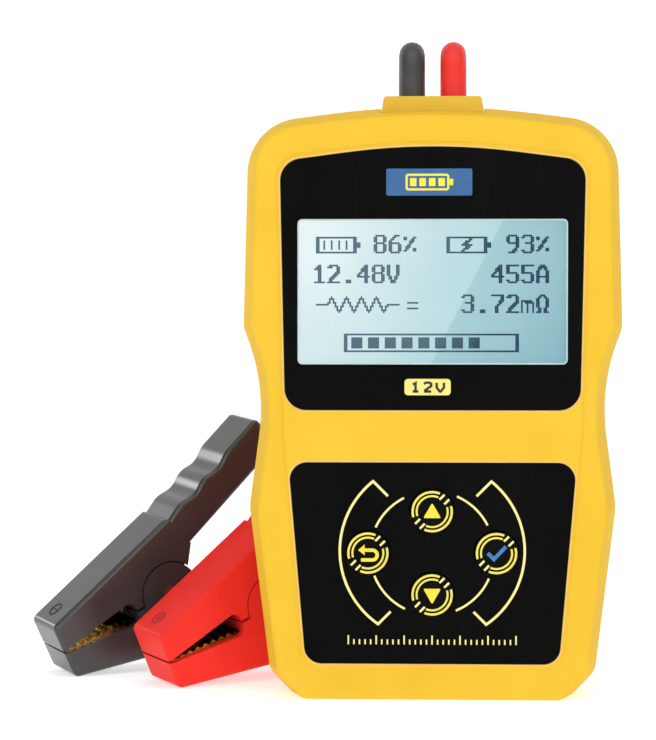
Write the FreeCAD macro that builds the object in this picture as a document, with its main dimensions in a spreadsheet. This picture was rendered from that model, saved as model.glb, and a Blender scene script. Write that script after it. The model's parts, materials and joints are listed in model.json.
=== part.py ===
import FreeCAD, Part
import math
import os
import re
import Sketcher
from FreeCAD import Placement, Rotation, Vector

# Handheld battery tester with two spring clamps on short leads.
# Millimetres, +Z up, front towards -Y, origin at the middle of the housing's base.

SIZES = {
    # Housing outline: how far its corners stand out from the panels, and heights from the base up
    "foot_in": 9.0,
    "foot_flat": 2.9,
    "heel_rim": 11.0,
    "heel_z": 6.2,
    "hip_rim": 11.9,
    "hip_z": 52.5,
    "waist_rim": 6.5,
    "waist_z": 85.9,
    "chest_rim": 11.3,
    "chest_z": 102.9,
    "shoulder_rim": 9.8,
    "shoulder_drop": 6.6,
    "crown_rim": 12.4,
    "foot_round": 6.0,
    "heel_round": 6.5,
    "hip_round": 12.0,
    "waist_reach": 13.5,
    "chest_round": 6.0,
    "shoulder_round": 15.5,
    "crown_round": 225.0,
    # Housing depth and walls
    "front_depth": 15.2,
    "rear_depth": 16.2,
    "front_draft": 12.0,
    "rear_draft": 9.0,
    "front_edge_round": 1.4,
    "rear_edge_round": 4.5,
    "wall": 2.2,
    "crown_wall": 3.6,
    "front_wall": 2.6,
    "plateau_rise": 0.8,
    "plateau_slope": 50.0,
    "plateau_margin": 1.6,
    # Panels set into the front
    "panel_thick": 1.2,
    "panel_recess": 1.3,
    "panel_gap": 0.15,
    "cut_over": 1.0,
    "display_top_half": 41.9,
    "display_top_z": 148.6,
    "display_crown_z": 154.1,
    "display_low_half": 40.5,
    "display_low_z": 80.3,
    "display_crown_round": 180.0,
    "display_round": 6.0,
    "window_width": 74.3,
    "window_height": 40.0,
    "window_z": 112.8,
    "window_round": 1.3,
    "window_ledge": 1.5,
    "keypad_top_half": 39.6,
    "keypad_top_z": 65.7,
    "keypad_low_half": 34.8,
    "keypad_low_z": 10.3,
    "keypad_round": 4.7,
    # Keys
    "key_radius": 6.1,
    "key_gap": 0.3,
    "key_proud": 0.2,
    "key_dish": 0.25,
    "key_dish_radius": 4.3,
    "key_brim_radius": 5.2,
    "key_flange_radius": 7.2,
    "key_flange_thick": 0.9,
    "key_flange_gap": 0.1,
    "key_stem_radius": 2.2,
    "key_middle_z": 40.8,
    "key_side_step": 17.7,
    "key_up_step": 11.5,
    "key_travel": 0.5,
    "key_round": 0.3,
    # Boards, measured forward from the parting plane
    "board_front": 2.0,
    "board_thick": 1.6,
    "board_half": 36.0,
    "board_round": 2.0,
    "board_low_z": 21.1,
    "board_top_drop": 27.4,
    "switch_width": 6.0,
    "switch_height": 4.0,
    "switch_round": 0.5,
    "plunger_radius": 1.7,
    "plunger_height": 1.4,
    "plunger_depth": 1.2,
    "plunger_gap": 0.05,
    "plunger_floor_gap": 0.1,
    "display_board_back": 5.0,
    "backlight_thick": 3.2,
    "glass_thick": 2.2,
    "frame_thick": 0.5,
    "module_half": 40.0,
    "module_height": 54.0,
    "frame_lap": 2.0,
    "module_gap": 0.1,
    "spacer_radius": 2.5,
    "spacer_x": 33.0,
    "spacer_step_z": 22.0,
    "post_radius": 2.8,
    "post_x": 31.0,
    "post_low_z": 26.1,
    "post_top_z": 76.1,
    # Parts on the back of the main board
    "chip_z": 96.2,
    "chip_step": 20.0,
    "chip_width": 10.0,
    "chip_thick": 1.6,
    "resistor_x": 11.0,
    "resistor_z": 49.2,
    "resistor_width": 7.0,
    "resistor_length": 25.0,
    "resistor_depth": 6.5,
    "can_x": 21.0,
    "can_z": 76.2,
    "can_step": 10.0,
    "can_radius": 4.0,
    "can_height": 11.0,
    "buzzer_radius": 6.0,
    "buzzer_height": 7.5,
    # Case screws
    "boss_radius": 3.4,
    "boss_top_x": 39.5,
    "boss_top_drop": 19.9,
    "boss_low_x": 34.5,
    "boss_low_z": 15.6,
    "screw_radius": 1.4,
    "screw_head_radius": 2.6,
    "screw_head_height": 1.8,
    "screw_head_round": 0.6,
    "screw_short": 0.5,
    "screw_gap": 0.1,
    "screw_seat": 8.0,
    "screw_bite": 6.0,
    "board_screw_bite": 5.0,
    # Cable collar and the clamp bar inside
    "collar_half": 14.45,
    "collar_top_half": 13.5,
    "collar_sink": 4.8,
    "collar_height": 5.4,
    "collar_depth": 8.0,
    "collar_round": 0.8,
    "collar_gap": 0.1,
    "neck_half": 12.0,
    "neck_depth": 5.5,
    "neck_drop": 10.9,
    "lead_x": 5.8,
    "lead_radius": 3.65,
    "lead_gap": 0.05,
    "lead_drop": 11.4,
    "tail_step_drop": 19.4,
    "tail_drop": 4.0,
    "tail_slant": 5.0,
    "bar_half": 18.0,
    "bar_thick": 2.5,
    "bar_height": 5.5,
    "bar_round": 1.0,
    "bar_drop": 15.4,
    "bar_post_x": 14.5,
    "bar_screw_bite": 6.0,
    "tail_radius": 1.4,
    "terminal_width": 5.0,
    "terminal_height": 6.0,
    "terminal_depth": 5.8,
    "terminal_drop": 33.4,
    # Spring clamps, measured from the pivot, along the mouth towards the tip
    "jaw_length": 37.2,
    "clamp_width": 18.4,
    "tip_height": 8.5,
    "tip_round": 2.0,
    "jaw_angle": 15.2,
    "seam_back": 8.1,
    "grip_angle": 19.7,
    "grip_length": 40.8,
    "grip_depth": 11.0,
    "grip_wall": 2.4,
    "grip_end_round": 1.5,
    "grip_low_round": 1.5,
    "clamp_edge_round": 1.3,
    "seam_step": 0.9,
    "groove_first": 11.0,
    "groove_pitch": 10.4,
    "groove_depth": 1.75,
    "hump_rise": 0.05,
    "groove_round": 7.0,
    "ear_radius": 9.0,
    "ear_gap": 0.4,
    "ear_wall": 2.4,
    "inner_ear_radius": 5.4,
    "inner_ear_gap": 0.1,
    "inner_ear_wall": 2.0,
    "mouth_back": 12.0,
    "mouth_half": 3.85,
    "tip_gap": 0.4,
    "mouth_round": 2.5,
    "contact_width": 14.0,
    "contact_back": 12.6,
    "contact_front": 36.0,
    "contact_thick": 1.5,
    "contact_gap": 0.05,
    "tooth_count": 9,
    "tooth_tip_share": 0.4,
    "tooth_root_share": 0.85,
    "pivot_radius": 2.0,
    "pivot_clearance": 0.05,
    "pivot_fit": 0.01,
    "pivot_round": 0.3,
    "pivot_recess": 1.0,
    "spring_wire": 1.3,
    "spring_radius": 4.2,
    "spring_pitch": 1.75,
    "spring_turns": 3,
    "spring_reach": 12.0,
    "spring_room": 6.6,
    "boot_radius": 5.2,
    "boot_tip_radius": 4.5,
    "boot_length": 14.0,
    "boot_round": 0.2,
    "boot_flare": 0.35,
    "boot_neck_radius": 4.3,
    "boot_gap": 0.05,
    "boot_middle": 5.6,
    # Where the clamps lie and how they are turned, in degrees
    "black_yaw": 207.9,
    "black_pitch": 26.0,
    "black_roll": -4.5,
    "black_pivot_x": -82.3,
    "black_pivot_y": 45.9,
    "black_pivot_z": 24.24,
    "red_yaw": 211.5,
    "red_pitch": 24.2,
    "red_roll": -4.3,
    "red_pivot_x": -50.4,
    "red_pivot_y": 27.0,
    "red_pivot_z": 23.32,
}

# The leads' routes from inside the collar to the clamps' boots, chosen by hand
BLACK_ROUTE = [(-5.8, 0, 180.4), (-6, 27, 180.4), (-5.5, 54, 139), (6, 78.5, 100), (13.2, 95.5, 66),
               (12.6, 100.3, 44), (6, 96.6, 29), (-6.6, 89.5, 21.5)]
RED_ROUTE = [(5.8, 0, 180.4), (6, 27, 180.4), (7, 48.2, 138), (23, 69, 98), (37, 83, 62),
             (40.8, 87, 40), (34.5, 83, 25), (22.3, 75.1, 17.5)]

doc = FreeCAD.newDocument("battery_tester")
sheet = doc.addObject("Spreadsheet::Sheet", "Sizes")
for row, (name, value) in enumerate(SIZES.items(), 1):
    sheet.set("A%d" % row, name)
    sheet.set("B%d" % row, str(value))
    sheet.setAlias("B%d" % row, name)
doc.recompute()

parts = {}


def bind(text):
    """A sum of size names, as an expression on the sheet."""
    def cell(match):
        return "Sizes." + match.group() if match.group() in SIZES else match.group()
    return re.sub(r"[A-Za-z_]\w*", cell, str(text))


def size(text):
    """The number that a sum of size names comes to."""
    return float(sheet.evalExpression(bind(text)))


def tie(item, name, text):
    """Set a property from a sum of size names, and keep it bound to the sheet."""
    item.setExpression(name, bind(text))


def new_body(label):
    body = doc.addObject("PartDesign::Body", label)
    body.Label = label
    parts[label] = body
    return body


def new_sketch(body, role="XZ_Plane", offset=None):
    """A sketch on one of the body's own planes, moved along the plane's normal."""
    sketch = body.newObject("Sketcher::SketchObject", body.Name + "_sketch")
    plane = next(item for item in body.Origin.OriginFeatures if item.Role == role)
    sketch.AttachmentSupport = [(plane, "")]
    sketch.MapMode = "FlatFace"
    if offset is not None:
        tie(sketch, ".AttachmentOffset.Base.z", offset)
    return sketch


def dimension(sketch, kind, refs, text):
    """A driving dimension, bound to the sheet where it has a name in it."""
    index = sketch.addConstraint(Sketcher.Constraint(kind, *refs, size(text)))
    if re.search("[A-Za-z]", str(text)):
        sketch.setExpression("Constraints[%d]" % index, bind(text))


def pin_down(sketch, geometry, place, across, up):
    dimension(sketch, "DistanceX", (-1, 1, geometry, place), across)
    dimension(sketch, "DistanceY", (-1, 1, geometry, place), up)


def outline(sketch, corners):
    """A closed outline of straight edges. Each corner is (across, up, rounding).

    A rounding is a radius, or with a name in _reach the length of each edge that its arc takes.
    """
    count = len(corners)
    points = [Vector(size(corner[0]), size(corner[1]), 0) for corner in corners]
    rounds = [size(corner[2]) for corner in corners]
    reached = [str(corner[2]).endswith("_reach") for corner in corners]
    ends = []
    for i, here in enumerate(points):
        back = (points[i - 1] - here).normalize()
        ahead = (points[(i + 1) % count] - here).normalize()
        half = back.getAngle(ahead) / 2
        if reached[i]:
            rounds[i] *= math.tan(half)
        run = rounds[i] / math.tan(half)
        centre = here + (back + ahead).normalize() * (rounds[i] / math.sin(half))
        ends.append((here + back * run, here + ahead * run, centre, back.cross(ahead).z < 0))
    lines = []
    for i in range(count):
        edge = Part.LineSegment(ends[i][1], ends[(i + 1) % count][0])
        lines.append(sketch.addGeometry(edge, False))
    for i, (across, up, rounding) in enumerate(corners):
        entry, leave, centre, left = ends[i]
        if not rounds[i]:
            sketch.addConstraint(Sketcher.Constraint("Coincident", lines[i - 1], 2, lines[i], 1))
            pin_down(sketch, lines[i], 1, across, up)
            continue
        spokes = [entry - centre, leave - centre] if left else [leave - centre, entry - centre]
        angles = [math.atan2(spoke.y, spoke.x) for spoke in spokes]
        circle = Part.Circle(centre, Vector(0, 0, 1), rounds[i])
        arc = sketch.addGeometry(Part.ArcOfCircle(circle, *angles), False)
        corner = sketch.addGeometry(Part.Point(points[i]), True)
        first, last = (1, 2) if left else (2, 1)
        sketch.addConstraint([
            Sketcher.Constraint("PointOnObject", corner, 1, lines[i - 1]),
            Sketcher.Constraint("PointOnObject", corner, 1, lines[i]),
            Sketcher.Constraint("Tangent", lines[i - 1], 2, arc, first),
            Sketcher.Constraint("Tangent", arc, last, lines[i], 1),
        ])
        pin_down(sketch, corner, 1, across, up)
        if reached[i]:
            dimension(sketch, "Distance", (corner, 1, lines[i], 1), rounding)
        else:
            dimension(sketch, "Radius", (arc,), rounding)
    return sketch


def mirrored(right_side):
    """The corners of the right side, from the base up, and their mirror images."""
    left_side = [("-(%s)" % across, up, rounding) for across, up, rounding in reversed(right_side)]
    return right_side + [corner for corner in left_side if size(corner[0]) < 0]


def rectangle(left, right, low, high, rounding=0):
    return [(left, low, rounding), (right, low, rounding), (right, high, rounding), (left, high, rounding)]


def circles(sketch, spots):
    """Circles, each (across, up, radius)."""
    for across, up, radius in spots:
        centre = Vector(size(across), size(up), 0)
        ring = sketch.addGeometry(Part.Circle(centre, Vector(0, 0, 1), size(radius)), False)
        pin_down(sketch, ring, 3, across, up)
        dimension(sketch, "Radius", (ring,), radius)
    return sketch


def extrude(kind, sketch, length, backwards=False, both_ways=False, taper=None):
    """A pad or a pocket from a sketch; taper narrows it along its way."""
    body = sketch.getParentGeoFeatureGroup()
    feature = body.newObject("PartDesign::" + kind, body.Name + "_" + kind.lower())
    feature.Profile = sketch
    tie(feature, "Length", length)
    feature.Reversed = backwards
    feature.SideType = "Symmetric" if both_ways else "One side"
    if taper:
        tie(feature, "TaperAngle", "-%s * 1 deg" % taper)
    return feature


def pad(sketch, length, **how):
    return extrude("Pad", sketch, length, **how)


def pocket(sketch, length, **how):
    return extrude("Pocket", sketch, length, **how)


def revolve(body, corners):
    """A turned piece about the body's Y axis; corners are (radius, along, rounding)."""
    sketch = outline(new_sketch(body, "XY_Plane"), corners)
    turned = body.newObject("PartDesign::Revolution", body.Name + "_turned")
    turned.Profile = sketch
    turned.ReferenceAxis = (sketch, ["V_Axis"])
    turned.Angle = 360
    return turned


def round_edges(body, radius, wanted):
    """Fillet the edges of the body's last feature whose ends all satisfy wanted."""
    doc.recompute()
    last = body.Tip
    names = []
    for number, edge in enumerate(last.Shape.Edges, 1):
        if all(wanted(vertex.Point) for vertex in edge.Vertexes):
            names.append("Edge%d" % number)
    fillet = body.newObject("PartDesign::Fillet", body.Name + "_fillet")
    fillet.Base = (last, names)
    tie(fillet, "Radius", radius)
    return fillet


def shape_part(label, shape, place=None):
    """A piece whose shape is worked out here, with its own place."""
    item = doc.addObject("Part::Feature", label)
    item.Label = label
    item.Shape = shape
    if place:
        item.Placement = place
    parts[label] = item
    return item


def near(value, target):
    return abs(value - target) < 0.01


# Levels forward of the parting plane
PLATEAU = "(front_depth + plateau_rise)"
RECESS_FLOOR = "(front_depth + plateau_rise - panel_recess)"
PANEL_FACE = "(front_depth + plateau_rise - panel_recess + panel_thick)"
INNER_FACE = "(front_depth - front_wall)"
BOARD_BACK = "(board_front - board_thick)"

# The housing's corners, set out from the panels, and what hangs below its crown
HEEL = "(keypad_low_half + heel_rim)"
HIP = "(keypad_top_half + hip_rim)"
WAIST = "(display_low_half + waist_rim)"
CHEST = "(display_top_half + chest_rim)"
SHOULDER = "(display_top_half + shoulder_rim)"
CROWN = "(display_crown_z + crown_rim)"
COLLAR_LOW = "(%s - collar_sink)" % CROWN
COLLAR_TOP = "(%s - collar_sink + collar_height)" % CROWN
NECK_LOW = "(%s - neck_drop)" % CROWN
BAR_MIDDLE = "(%s - bar_drop)" % CROWN
TERMINAL_TOP = "(%s - terminal_drop)" % CROWN

HOUSING = mirrored([
    (HEEL + " - foot_in", "-foot_flat", "foot_round"),
    (HEEL, "heel_z", "heel_round"),
    (HIP, "hip_z", "hip_round"),
    (WAIST, "waist_z", "waist_reach"),
    (CHEST, "chest_z", "chest_round"),
    (SHOULDER, CROWN + " - shoulder_drop", "shoulder_round"),
    ("0", CROWN, "crown_round"),
])

CAVITY = mirrored([
    (HEEL + " - foot_in - wall", "wall", "foot_round"),
    (HEEL + " - wall", "heel_z + wall", "heel_round"),
    (HIP + " - wall", "hip_z", "hip_round"),
    (WAIST + " - wall", "waist_z", "waist_reach"),
    (CHEST + " - wall", "chest_z", "chest_round"),
    (SHOULDER + " - wall", CROWN + " - shoulder_drop - crown_wall", "shoulder_round - wall"),
    ("0", CROWN + " - crown_wall", "crown_round"),
])


def display_corners(grow):
    return mirrored([
        ("display_low_half + " + grow, "display_low_z - (%s)" % grow, "display_round"),
        ("display_top_half + " + grow, "display_top_z + " + grow, "display_round"),
        ("0", "display_crown_z + " + grow, "display_crown_round"),
    ])


def keypad_corners(grow):
    return mirrored([
        ("keypad_low_half + " + grow, "keypad_low_z - (%s)" % grow, "keypad_round"),
        ("keypad_top_half + " + grow, "keypad_top_z + " + grow, "keypad_round"),
    ])


def window_corners(grow):
    return rectangle("-window_width / 2 - (%s)" % grow, "window_width / 2 + " + grow,
                     "window_z - window_height / 2 - (%s)" % grow,
                     "window_z + window_height / 2 + " + grow, "window_round")


KEYS = {
    "up": ("0", "key_middle_z + key_up_step"),
    "down": ("0", "key_middle_z - key_up_step"),
    "back": ("-key_side_step", "key_middle_z"),
    "ok": ("key_side_step", "key_middle_z"),
}

BOSSES = [("boss_top_x", CROWN + " - boss_top_drop"), ("-boss_top_x", CROWN + " - boss_top_drop"),
          ("boss_low_x", "boss_low_z"), ("-boss_low_x", "boss_low_z")]
POSTS = [("post_x", "post_low_z"), ("-post_x", "post_low_z"),
         ("post_x", "post_top_z"), ("-post_x", "post_top_z")]
BAR_POSTS = [("bar_post_x", BAR_MIDDLE), ("-bar_post_x", BAR_MIDDLE)]
BAR_FACE = "(lead_radius + lead_gap)"


def rings(spots, radius):
    return [(across, up, radius) for across, up in spots]


def cut_collar_seat(body, backwards):
    """The seat of the collar's cap and the slot of its neck, at the parting plane."""
    above = CROWN + " + cut_over"
    neck = rectangle("-neck_half - collar_gap", "neck_half + collar_gap", NECK_LOW, above)
    cap = rectangle("-collar_half - collar_gap", "collar_half + collar_gap", COLLAR_LOW, above)
    pocket(outline(new_sketch(body), neck), "neck_depth + collar_gap", backwards=backwards)
    pocket(outline(new_sketch(body), cap), "collar_depth + collar_gap", backwards=backwards)


def cut_base_flat(body):
    """The flat that the housing stands on, between the drafts of its two halves."""
    below = rectangle("-" + HEEL, HEEL, "-foot_flat - cut_over", "0")
    pocket(outline(new_sketch(body), below), "2 * (front_depth + rear_depth)", both_ways=True)


def make_front_shell():
    """Tray with drafted walls, a raised plateau and the recesses, holes and posts."""
    body = new_body("front_shell")
    pad(outline(new_sketch(body), HOUSING), "front_depth", taper="front_draft")
    front = -size("front_depth")
    round_edges(body, "front_edge_round", lambda point: near(point.y, front))
    plateau = mirrored([
        ("keypad_low_half + plateau_margin", "keypad_low_z - plateau_margin",
         "keypad_round + plateau_margin"),
        ("(keypad_top_half + display_low_half) / 2 + plateau_margin",
         "(keypad_top_z + display_low_z) / 2", "hip_round"),
        ("display_top_half + plateau_margin", "display_top_z + plateau_margin",
         "display_round + plateau_margin"),
        ("0", "display_crown_z + plateau_margin", "display_crown_round"),
    ])
    pad(outline(new_sketch(body, offset="front_depth"), plateau), "plateau_rise", taper="plateau_slope")
    pocket(outline(new_sketch(body), CAVITY), INNER_FACE, backwards=True, taper="front_draft")
    pocket(outline(new_sketch(body, offset=PLATEAU), display_corners("panel_gap")), "panel_recess")
    pocket(outline(new_sketch(body, offset=PLATEAU), keypad_corners("panel_gap")), "panel_recess")
    pocket(outline(new_sketch(body, offset=PLATEAU), window_corners("window_ledge")), "front_depth")
    holes = rings(KEYS.values(), "key_radius + key_gap")
    pocket(circles(new_sketch(body, offset=PLATEAU), holes), "front_depth")
    inside = "front_depth - front_wall / 2"
    pad(circles(new_sketch(body), rings(BOSSES, "boss_radius")), inside)
    posts = rings(POSTS, "post_radius")
    pad(circles(new_sketch(body, offset="board_front"), posts), inside + " - board_front")
    bar_posts = rings(BAR_POSTS, "post_radius")
    pad(circles(new_sketch(body, offset="-" + BAR_FACE), bar_posts), inside + " + " + BAR_FACE)
    rib = rectangle("-bar_post_x", "bar_post_x", BAR_MIDDLE + " - bar_height / 4",
                    BAR_MIDDLE + " + bar_height / 4")
    pad(outline(new_sketch(body, offset=BAR_FACE), rib), inside + " - " + BAR_FACE)
    pocket(circles(new_sketch(body), rings(BOSSES, "screw_radius")), "screw_bite", backwards=True)
    pilots = rings(POSTS, "screw_radius")
    pocket(circles(new_sketch(body, offset="board_front"), pilots), "board_screw_bite", backwards=True)
    pilots = rings(BAR_POSTS, "screw_radius")
    pocket(circles(new_sketch(body, offset="-" + BAR_FACE), pilots), "bar_screw_bite", backwards=True)
    cut_collar_seat(body, True)
    cut_base_flat(body)


def make_rear_shell():
    """Rear tray with rounded edges and four counterbored screw towers."""
    body = new_body("rear_shell")
    pad(outline(new_sketch(body), HOUSING), "rear_depth", backwards=True, taper="rear_draft")
    rear = size("rear_depth")
    round_edges(body, "rear_edge_round", lambda point: near(point.y, rear))
    pocket(outline(new_sketch(body), CAVITY), "rear_depth - wall", taper="rear_draft")
    tower = rings(BOSSES, "boss_radius")
    pad(circles(new_sketch(body), tower), "rear_depth - wall / 2", backwards=True)
    pocket(circles(new_sketch(body), rings(BOSSES, "screw_radius + screw_gap")), "rear_depth + cut_over")
    wells = rings(BOSSES, "screw_head_radius + screw_gap")
    pocket(circles(new_sketch(body, offset="-screw_seat"), wells), "rear_depth")
    cut_collar_seat(body, False)
    cut_base_flat(body)


def make_panels():
    """Black display panel with its clear window, and the black keypad panel."""
    panel = new_body("display_panel")
    pad(outline(new_sketch(panel, offset=RECESS_FLOOR), display_corners("0")), "panel_thick")
    face = new_sketch(panel, offset=PANEL_FACE)
    pocket(outline(face, window_corners("0")), "panel_thick + cut_over")
    window = new_body("display_window")
    pad(outline(new_sketch(window, offset=RECESS_FLOOR), window_corners("0")), "panel_thick")
    keypad = new_body("keypad_panel")
    pad(outline(new_sketch(keypad, offset=RECESS_FLOOR), keypad_corners("0")), "panel_thick")
    holes = rings(KEYS.values(), "key_radius + key_gap")
    pocket(circles(new_sketch(keypad, offset=PANEL_FACE), holes), "panel_thick + cut_over")


SWITCH_TOP = "(board_front + switch_height)"
PLUNGER_TOP = "(board_front + switch_height + plunger_height)"


def make_keys():
    """Four round keys with a retaining flange and a stem, each on the plunger of its switch."""
    for name, (across, up) in KEYS.items():
        place = Placement(Vector(size(across), 0, size(up)), Rotation())
        key = new_body("key_" + name)
        face = "-(%s + key_proud)" % PLATEAU
        flange = "-(%s - key_flange_gap)" % INNER_FACE
        revolve(key, [
            ("0", "-" + PLUNGER_TOP, "0"),
            ("0", face + " + key_dish", "0"),
            ("key_dish_radius", face + " + key_dish", "key_radius"),
            ("key_brim_radius", face, "key_round"),
            ("key_radius", face, "key_round"),
            ("key_radius", flange, "0"),
            ("key_flange_radius", flange, "0"),
            ("key_flange_radius", flange + " + key_flange_thick", "0"),
            ("key_stem_radius", flange + " + key_flange_thick", "0"),
            ("key_stem_radius", "-" + PLUNGER_TOP, "0"),
        ])
        key.Placement = place
        plunger = new_body("plunger_" + name)
        revolve(plunger, [
            ("0", "-" + PLUNGER_TOP, "0"),
            ("plunger_radius", "-" + PLUNGER_TOP, "0"),
            ("plunger_radius", "-%s + plunger_depth - key_travel - plunger_floor_gap" % SWITCH_TOP, "0"),
            ("0", "-%s + plunger_depth - key_travel - plunger_floor_gap" % SWITCH_TOP, "0"),
        ])
        plunger.Placement = place


def make_switches():
    """Square tact switches on the main board, each with the bore of its plunger."""
    body = doc.addObject("PartDesign::Body", "one_switch")
    half = "switch_width / 2"
    block = rectangle("-" + half, half, "-" + half, half, "switch_round")
    pad(outline(new_sketch(body, offset="board_front"), block), "switch_height")
    bore = [("0", "0", "plunger_radius + plunger_gap")]
    pocket(circles(new_sketch(body, offset=SWITCH_TOP), bore), "plunger_depth")
    doc.recompute()
    return group("tact_switches", body, KEYS.values())


def group(label, body, spots):
    """Copies of one body at each spot (across, up), in one node."""
    doc.recompute()
    copies = []
    for across, up in spots:
        copy = body.Shape.copy()
        copy.translate(Vector(size(across), 0, size(up)))
        copies.append(copy)
    return shape_part(label, Part.makeCompound(copies))


def make_boards():
    """Main board, display board and the display module in front of it."""
    board = new_body("main_board")
    edge = rectangle("-board_half", "board_half", "board_low_z", CROWN + " - board_top_drop", "board_round")
    pad(outline(new_sketch(board, offset=BOARD_BACK), edge), "board_thick")
    holes = rings(POSTS, "screw_radius + screw_gap")
    pocket(circles(new_sketch(board, offset="board_front"), holes), "board_thick + cut_over")
    low = "window_z - module_height / 2"
    high = "window_z + module_height / 2"
    module = rectangle("-module_half", "module_half", low, high)
    lap = "frame_thick + module_gap"
    inside = rectangle("-module_half + " + lap, "module_half - (%s)" % lap,
                       low + " + " + lap, high + " - (%s)" % lap)
    light_back = "(display_board_back + board_thick)"
    glass_back = "(display_board_back + board_thick + backlight_thick)"
    glass_front = "(display_board_back + board_thick + backlight_thick + glass_thick)"
    plate = new_body("display_board")
    pad(outline(new_sketch(plate, offset="display_board_back"), module), "board_thick")
    light = new_body("backlight")
    pad(outline(new_sketch(light, offset=light_back), inside), "backlight_thick")
    glass = new_body("display_glass")
    pad(outline(new_sketch(glass, offset=glass_back), inside), "glass_thick")
    frame = new_body("display_frame")
    pad(outline(new_sketch(frame, offset=light_back), module), "backlight_thick + glass_thick + frame_thick")
    hollow = rectangle("-module_half + frame_thick", "module_half - frame_thick",
                       low + " + frame_thick", high + " - frame_thick")
    pocket(outline(new_sketch(frame, offset=glass_front), hollow), "front_depth")
    view = window_corners("frame_lap / 2")
    pocket(outline(new_sketch(frame, offset="front_depth"), view), "front_depth")
    spacer = doc.addObject("PartDesign::Body", "one_spacer")
    pad(circles(new_sketch(spacer, offset="board_front"), [("0", "0", "spacer_radius")]),
        "display_board_back - board_front")
    spots = [(side + "spacer_x", "window_z %s spacer_step_z" % level) for side in ("", "-") for level in "+-"]
    group("display_spacers", spacer, spots)


def boxes(label, spots, width, height, depth):
    """Square parts on the back of the main board, in one node."""
    body = doc.addObject("PartDesign::Body", "one_" + label)
    block = rectangle("-(%s) / 2" % width, "(%s) / 2" % width, "-(%s) / 2" % height, "(%s) / 2" % height,
                      "switch_round")
    pad(outline(new_sketch(body, offset=BOARD_BACK), block), depth, backwards=True)
    return group(label, body, spots)


def cans(label, spots, radius, depth):
    """Round parts standing on the back of the main board, in one node."""
    body = doc.addObject("PartDesign::Body", "one_" + label)
    pad(circles(new_sketch(body, offset=BOARD_BACK), [("0", "0", radius)]), depth, backwards=True)
    return group(label, body, spots)


def make_components():
    """What the main board carries on its back."""
    boxes("control_chips", [("0", "chip_z"), ("-chip_step", "chip_z"), ("chip_step", "chip_z + chip_width")],
          "chip_width", "chip_width", "chip_thick")
    boxes("load_resistors", [("-resistor_x", "resistor_z"), ("resistor_x", "resistor_z")],
          "resistor_width", "resistor_length", "resistor_depth")
    cans("capacitors", [("-can_x", "can_z"), ("-can_x", "can_z + can_step")], "can_radius", "can_height")
    cans("buzzer", [("can_x", "can_z")], "buzzer_radius", "buzzer_height")
    middle = TERMINAL_TOP + " - terminal_height / 2"
    boxes("lead_terminals", [("lead_x", middle), ("-lead_x", middle)],
          "terminal_width", "terminal_height", "terminal_depth")


def make_screws(label, spots, seat, bite):
    """Pan head screws whose heads seat at a level and whose shanks run forward."""
    body = doc.addObject("PartDesign::Body", "one_" + label)
    top = seat + " + screw_head_height"
    revolve(body, [
        ("0", seat + " - (%s)" % bite, "0"),
        ("0", top, "0"),
        ("screw_head_radius", top, "screw_head_round"),
        ("screw_head_radius", seat, "0"),
        ("screw_radius", seat, "0"),
        ("screw_radius", seat + " - (%s)" % bite, "0"),
    ])
    group(label, body, spots)


def make_fasteners():
    make_screws("case_screws", BOSSES, "screw_seat", "screw_seat + screw_bite - screw_short")
    make_screws("board_screws", POSTS, "-" + BOARD_BACK, "board_thick + board_screw_bite - screw_short")
    make_screws("bar_screws", BAR_POSTS, BAR_FACE + " + bar_thick",
                "bar_thick + bar_screw_bite - screw_short")


def make_collar():
    """Cap on top of the housing with a neck between the shells and a bore for each lead."""
    body = new_body("cable_collar")
    cap = [("-collar_half", COLLAR_LOW, "0"), ("collar_half", COLLAR_LOW, "0"),
           ("collar_top_half", COLLAR_TOP, "collar_round"),
           ("-collar_top_half", COLLAR_TOP, "collar_round")]
    pad(outline(new_sketch(body), cap), "collar_depth * 2", both_ways=True)
    neck = rectangle("-neck_half", "neck_half", NECK_LOW + " + collar_gap", COLLAR_LOW + " + cut_over")
    pad(outline(new_sketch(body), neck), "neck_depth * 2", both_ways=True)
    bores = [("lead_x", "0", "lead_radius + lead_gap"), ("-lead_x", "0", "lead_radius + lead_gap")]
    pocket(circles(new_sketch(body, "XY_Plane", offset=COLLAR_TOP + " + cut_over"), bores), COLLAR_TOP)
    bar = new_body("clamp_bar")
    edge = rectangle("-bar_half", "bar_half", BAR_MIDDLE + " - bar_height / 2",
                     BAR_MIDDLE + " + bar_height / 2", "bar_round")
    pad(outline(new_sketch(bar, offset="-" + BAR_FACE), edge), "bar_thick", backwards=True)
    holes = rings(BAR_POSTS, "screw_radius + screw_gap")
    pocket(circles(new_sketch(bar, offset="-" + BAR_FACE), holes), "bar_thick + cut_over")


OUTER_SEAM = "(tip_height + (jaw_length + seam_back) * tan(jaw_angle * 1 deg))"
INNER_WIDTH = "(clamp_width - 2 * ear_wall)"
EARS_WIDTH = "(clamp_width - 2 * ear_wall - 2 * inner_ear_gap)"
SPRING_WIDTH = "(clamp_width - 2 * ear_wall - 2 * inner_ear_gap - 2 * inner_ear_wall)"


def mouth_edge(along):
    """Half the mouth's height at a distance from the pivot."""
    return "(tip_gap + (jaw_length - (%s)) * (mouth_half - tip_gap) / (jaw_length - mouth_back))" % along


def on_grip(way, depth):
    """A point of an arm: way along the grip from the seam, depth in from its back."""
    along = "-seam_back - (%s) * cos(grip_angle * 1 deg) - (%s) * sin(grip_angle * 1 deg)" % (way, depth)
    up = "%s + (%s) * sin(grip_angle * 1 deg) - (%s) * cos(grip_angle * 1 deg)" % (OUTER_SEAM, way, depth)
    return along, up


def flipped(corners, side):
    """The corners of the upper arm, or with side -1 those of the lower arm."""
    return [(along, "%d * (%s)" % (side, up), rounding) for along, up, rounding in corners]


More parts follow.
